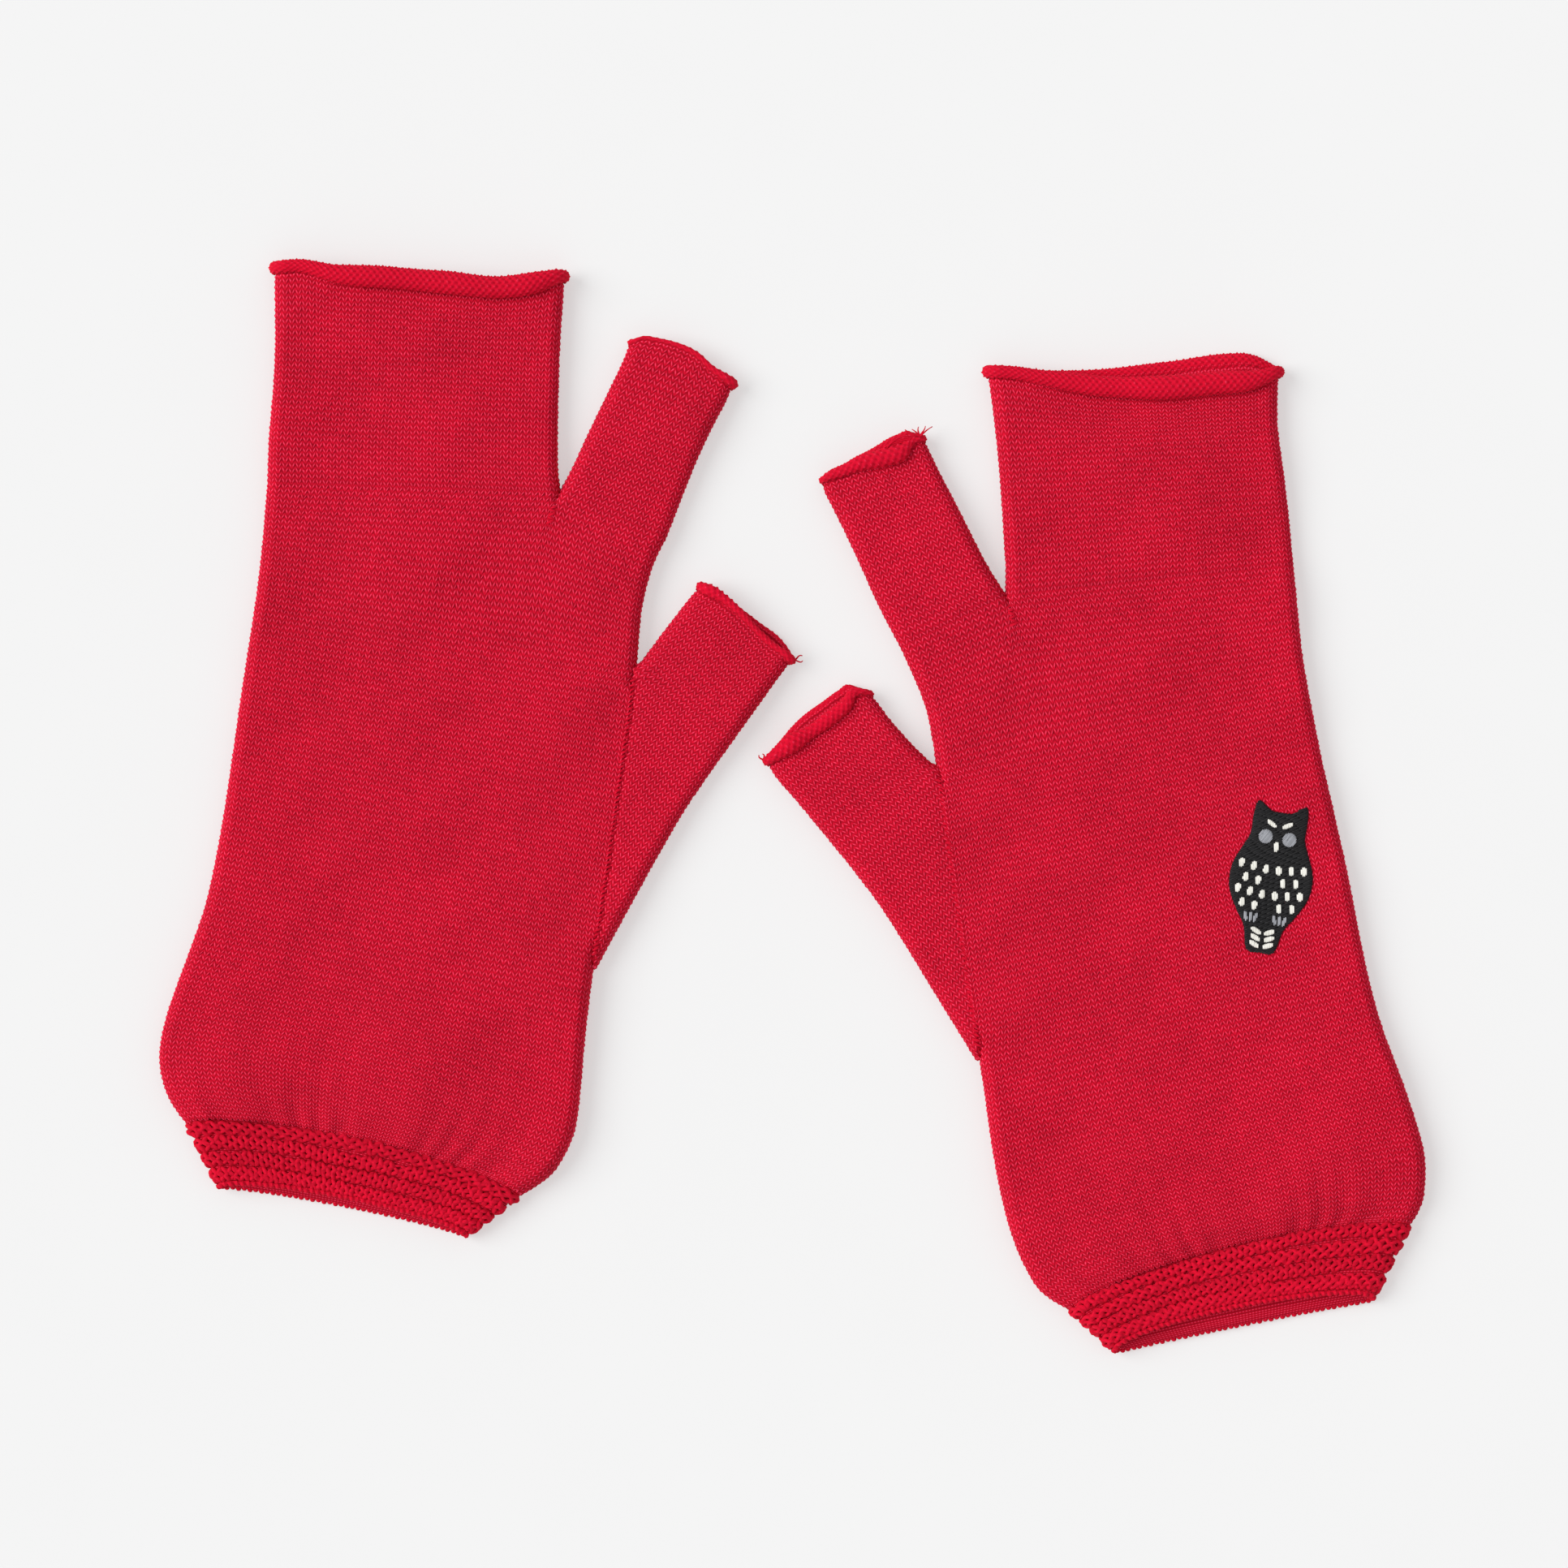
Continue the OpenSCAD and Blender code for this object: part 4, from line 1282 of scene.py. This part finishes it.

# %% [markdown]
# ## Colours
#
# Red cotton isn't one red. Each stitch takes the dye a little differently, and the colour also
# carries painted light: a painted highlight along the crest of each leg, painted shade between the
# legs, and a random mottle over a centimetre or two that paints soft shade across the cloth. The
# meshes carry where each point is in its stitch, so the material paints crests and grooves from
# that. The class below lets the maths be written as plain expressions: each one adds a node.


# %% Shader expressions
class Wire:
    """A socket, or a number, that can be used in expressions. Each operation adds a Math node."""

    def __init__(self, tree, value):
        self.tree, self.value = tree, value

    def node(self, kind, sockets=(), stops=(), out=0, **settings):
        """Adds any node, with its settings, ramp stops and inputs, and gives one of its outputs."""
        made = self.tree.nodes.new(kind)
        for key, setting in settings.items():
            setattr(made, key, setting)
        for i, (place, colour) in enumerate(stops):
            ramp = made.color_ramp.elements
            element = ramp[i] if i < len(ramp) else ramp.new(place)
            element.position, element.color = place, (*colour, 1)
        for key, value in dict(sockets).items():
            value = value.value if isinstance(value, Wire) else value
            if isinstance(value, bpy.types.NodeSocket):
                self.tree.links.new(value, made.inputs[key])
            else:
                made.inputs[key].default_value = value
        return Wire(self.tree, made.outputs[out])

    def maths(self, operation, first, second=0.0):
        return self.node("ShaderNodeMath", {0: first, 1: second}, operation=operation)

    def __add__(self, other):
        return self.maths("ADD", self, other)

    __radd__ = __add__

    def __sub__(self, other):
        return self.maths("SUBTRACT", self, other)

    def __rsub__(self, other):
        return self.maths("SUBTRACT", other, self)

    def __mul__(self, other):
        return self.maths("MULTIPLY", self, other)

    __rmul__ = __mul__

    def __pow__(self, other):
        return self.maths("POWER", self, other)

    def __rpow__(self, other):
        return self.maths("POWER", other, self)

    def cos(self):
        return self.maths("COSINE", self)

    def clipped(self):
        return self.maths("MINIMUM", self.maths("MAXIMUM", self, 0.0), 1.0)


def mixed(factor, first, second, blend="MIX"):
    """A Mix node of two colours. The factor and either colour may be wires."""
    wire = next(v for v in (factor, first, second) if isinstance(v, Wire))
    return wire.node("ShaderNodeMix", {0: factor, 6: first, 7: second}, out=2,
                     data_type="RGBA", blend_type=blend, clamp_factor=True)


def linear(*colour):
    """An everyday 0-255 colour as the linear values that sockets take."""
    return tuple((c / 255 / 12.92) if c <= 10 else ((c / 255 + 0.055) / 1.055) ** 2.4
                 for c in colour)


def start_material(name, roughness=0.9, specular=0.18):
    """A material with its shader node, and a wire to start expressions from."""
    material = bpy.data.materials.new(name)
    material.use_nodes = True
    shader = material.node_tree.nodes["Principled BSDF"]
    shader.inputs["Roughness"].default_value = roughness
    shader.inputs["Specular IOR Level"].default_value = specular
    return material, shader, Wire(material.node_tree, 0.0)


def attribute(wire, name):
    return wire.node("ShaderNodeAttribute", attribute_name=name, out=2)


def noise(wire, size, detail=2.0, roughness=0.5):
    """Noise, 0 to 1, with features of a size in mm, that moves with the piece."""
    place = wire.node("ShaderNodeTexCoord", out=3)
    sockets = {"Vector": place, "Scale": 1 / (size * MM), "Detail": detail, "Roughness": roughness}
    return wire.node("ShaderNodeTexNoise", sockets)


def finish_material(shader, wire, colour, height, strength=0.5, depth=0.15, roughness=None):
    """Links the colour and a bump of a height pattern, 0 to 1, that stands depth mm tall."""
    tree = wire.tree
    sockets = {"Strength": strength, "Distance": depth * MM, "Height": height}
    bump = wire.node("ShaderNodeBump", sockets)
    tree.links.new(colour.value, shader.inputs["Base Color"])
    tree.links.new(bump.value, shader.inputs["Normal"])
    if roughness is not None:
        tree.links.new(roughness.value, shader.inputs["Roughness"])


# %% Red cotton
# The deep red is painted shade between the legs, the light red a painted highlight on their crests,
# and the middle red is the yarn's own colour.
GROOVE_SHADE, BODY, CREST_HIGHLIGHT = linear(158, 0, 27), linear(206, 1, 41), linear(246, 72, 108)


def cotton(name, pattern):
    """Red yarn. Pattern turns the wire into how high a point is in its stitch, 0 to 1. In the
    colour, high points get a painted highlight and low points painted shade.
    """
    material, shader, wire = start_material(name)
    height = pattern(wire)
    tone = attribute(wire, "tone")
    painted_soft_shade = noise(wire, 20, 3.0)
    fibre = noise(wire, 0.35, 3.0, 0.7)
    # The stitch height, roughened by fibre noise, picks the colour: painted shade low, painted
    # highlight high.
    shown = (height + (fibre - 0.5) * 0.35).clipped()
    colour = wire.node("ShaderNodeValToRGB", {0: shown},
                       stops=((0.0, GROOVE_SHADE), (0.4, BODY), (0.68, BODY), (1.0, CREST_HIGHLIGHT)))
    # A random noise mottle about 2 cm across lightens and darkens the red: painted soft shade. The
    # tone is each stitch's own dye.
    level = 0.82 + tone * 0.16 + painted_soft_shade * 0.22
    grey = wire.node("ShaderNodeCombineColor", {0: level, 1: level, 2: level})
    colour = mixed(1.0, colour, grey, "MULTIPLY")
    finish_material(shader, wire, colour, fibre + height * 0.6, 0.45, 0.16, 0.84 + fibre * 0.12)
    return material


def plain_pattern(wire):
    """Legs of plain knitting: a crest along each leg, and a pinch where it goes under the next."""
    crest = 0.5 + 0.5 * (attribute(wire, "course") * (2 * math.pi)).cos()
    along_leg = (attribute(wire, "wale") * (4 * math.pi)).cos() * -0.5 + 0.5
    return crest * (0.3 + 0.7 * along_leg ** 0.5)


def purl_pattern(wire):
    return 0.08 + 0.72 * attribute(wire, "bump") ** 0.8


def yarn_pattern(wire):
    return 0.16 + 0.56 * attribute(wire, "ply")


materials = {
    "red_knit": cotton("red_knit", plain_pattern),
    "red_hem": cotton("red_hem", purl_pattern),
    "red_cuff": cotton("red_cuff", yarn_pattern),
    "red_yarn": cotton("red_yarn", yarn_pattern),
}
print("reds:", *materials)


# %% [markdown]
# The table is a light table: half of its brightness is its own, so shadows on it stay faint.

# %% Thread, elastic, backing and table
def thread(name, low, high, roughness=0.55):
    """Shiny embroidery thread: ribs along the plies, with a painted highlight on their crests, and
    a tone for each stitch.
    """
    material, shader, wire = start_material(name, roughness, specular=0.4)
    ply, tone, fibre = attribute(wire, "ply"), attribute(wire, "tone"), noise(wire, 0.25, 2.0)
    # Ply crests are painted lighter, a painted highlight; tone and fibre are the thread's own
    # variation.
    brightness = (0.25 + tone * 0.45 + ply * 0.2 + (fibre - 0.5) * 0.3).clipped()
    colour = mixed(brightness, (*low, 1), (*high, 1))
    gloss = roughness + (fibre - 0.5) * 0.15
    finish_material(shader, wire, colour, ply * 0.5 + fibre, 0.4, 0.08, gloss)
    return material


materials["black_thread"] = thread("black_thread", linear(2, 2, 3), linear(22, 21, 24))
materials["white_thread"] = thread("white_thread", linear(214, 212, 202), linear(246, 245, 238))
materials["grey_thread"] = thread("grey_thread", linear(120, 122, 128), linear(172, 174, 180))
materials["elastic"] = thread("elastic", linear(140, 10, 28), linear(196, 32, 52), 0.5)

material, shader, wire = start_material("backing", 0.95, 0.1)
fleece = noise(wire, 0.8, 4.0, 0.6)
colour = mixed(fleece, (*linear(206, 204, 198), 1), (*linear(240, 239, 235), 1))
finish_material(shader, wire, colour, fleece)
materials["backing"] = material

TABLE_GLOW = 0.482
material, shader, wire = start_material("table", 0.9, 0.2)
speck = noise(wire, 40, 2.0)
colour = mixed(speck, (0.375, 0.375, 0.375, 1), (0.385, 0.385, 0.385, 1))
finish_material(shader, wire, colour, speck, 0.02, 0.02)
shader.inputs["Emission Color"].default_value = (1, 1, 1, 1)
shader.inputs["Emission Strength"].default_value = TABLE_GLOW
table.data.materials.append(material)
print("all finishes:", *materials, material.name)

# %% [markdown]
# ## What moves with what
#
# The hand's pieces ride on the hand, and the finger and index hems and the index's loose end ride
# on their moving parts. The sleeves, the cuff and the thumb's tube, hem and loose end stay where
# they are, on no body: where each would bend past its fold line is worked out, but no bend is made.
# A thumb is so slanted that this span is only about a centimetre.

# %% Ride and replace
# piece: its body, and where its bend starts and ends past the fold line, in mm
BLENDS = {"finger": ("fingers", 1.5, 19.0), "index": ("index", 1.5, 17.0),
          "thumb": ("thumb", 0.5, 11.5), "cuff": ("cuff_band", 1.4, 10.0)}
# piece: the CAD node that it stands for, and its slot
CAD = {
    "hand_back": ("hand_tube", "red_knit"), "hand_palm": ("hand_tube", "red_knit"),
    "finger_tube": ("finger_sleeve", "red_knit"), "index_tube": ("index_sleeve", "red_knit"),
    "thumb_tube": ("thumb_sleeve", "red_knit"),
    "finger_roll": ("finger_hem", "red_hem"), "finger_roll_chain": ("finger_hem", "red_hem"),
    "index_roll": ("index_hem", "red_hem"), "index_roll_chain": ("index_hem", "red_hem"),
    "thumb_roll": ("thumb_hem", "red_hem"), "thumb_roll_chain": ("thumb_hem", "red_hem"),
    "cuff_sheet": ("cuff", "red_cuff"), "cuff_ridges": ("cuff", "red_cuff"),
    "cuff_edge": ("cuff", "red_cuff"),
    "elastic_strands": ("cuff_elastic", "elastic"), "fork_stitches": ("fork_join", "red_yarn"),
    "thumb_linking": ("thumb_seam", "red_yarn"), "thumb_loose_end": ("thumb_yarn_end", "red_yarn"),
    "index_loose_end": ("index_yarn_end", "red_yarn"),
    "owl_ground_thread": ("owl_ground", "black_thread"),
    "owl_flecks_thread": ("owl_flecks", "white_thread"),
    "owl_eyes_thread": ("owl_eyes", "grey_thread"),
    "owl_claws_thread": ("owl_claws", "grey_thread"),
    "owl_soft_backing": ("owl_backing", "backing"),
}


def past_fold(side, part, distance):
    """A point so many mm past a fold line, in metres."""
    joint = joints[f"{side}_{part}_fold"]
    turn = joint["axis"]
    return Vector(joint["pos_m"]) + Vector((-turn[1], turn[0], 0)) * distance * MM


for name, piece in pieces.items():
    side, stem = name.split("_", 1)
    node, slot_name = CAD[stem]
    hand = f"{side}_hand"
    part = "cuff" if stem == "elastic_strands" else stem.split("_")[0]
    if part not in BLENDS or stem == "thumb_linking":
        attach(piece, hand)
    elif part in ("thumb", "cuff") or stem.endswith("_tube"):
        body, near, far = BLENDS[part]
        joint = body.removesuffix("_band")
        near, far = past_fold(side, joint, near), past_fold(side, joint, far)
        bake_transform(piece)
    else:
        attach(piece, f"{side}_{BLENDS[part][0]}")
    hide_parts(node if node.startswith("owl") else f"{side}_{node}")
    material_name = "red_knit" if stem == "cuff_sheet" else slot_name
    piece.data.materials.append(materials[material_name])
print(len(pieces), "pieces stand for", len(frame["nodes"]), "CAD nodes")

# %% [markdown]
# ## Sizes of the CAD and of the dressed pair
#
# The dressed pair must be as large as the CAD says, give or take the thickness of its yarn.

# %% Sizes
low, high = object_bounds()
for label, a, b in (("CAD", cad_low, cad_high), ("visual", low, high)):
    print(label, [round((b[i] - a[i]) / MM, 2) for i in range(3)], "mm")
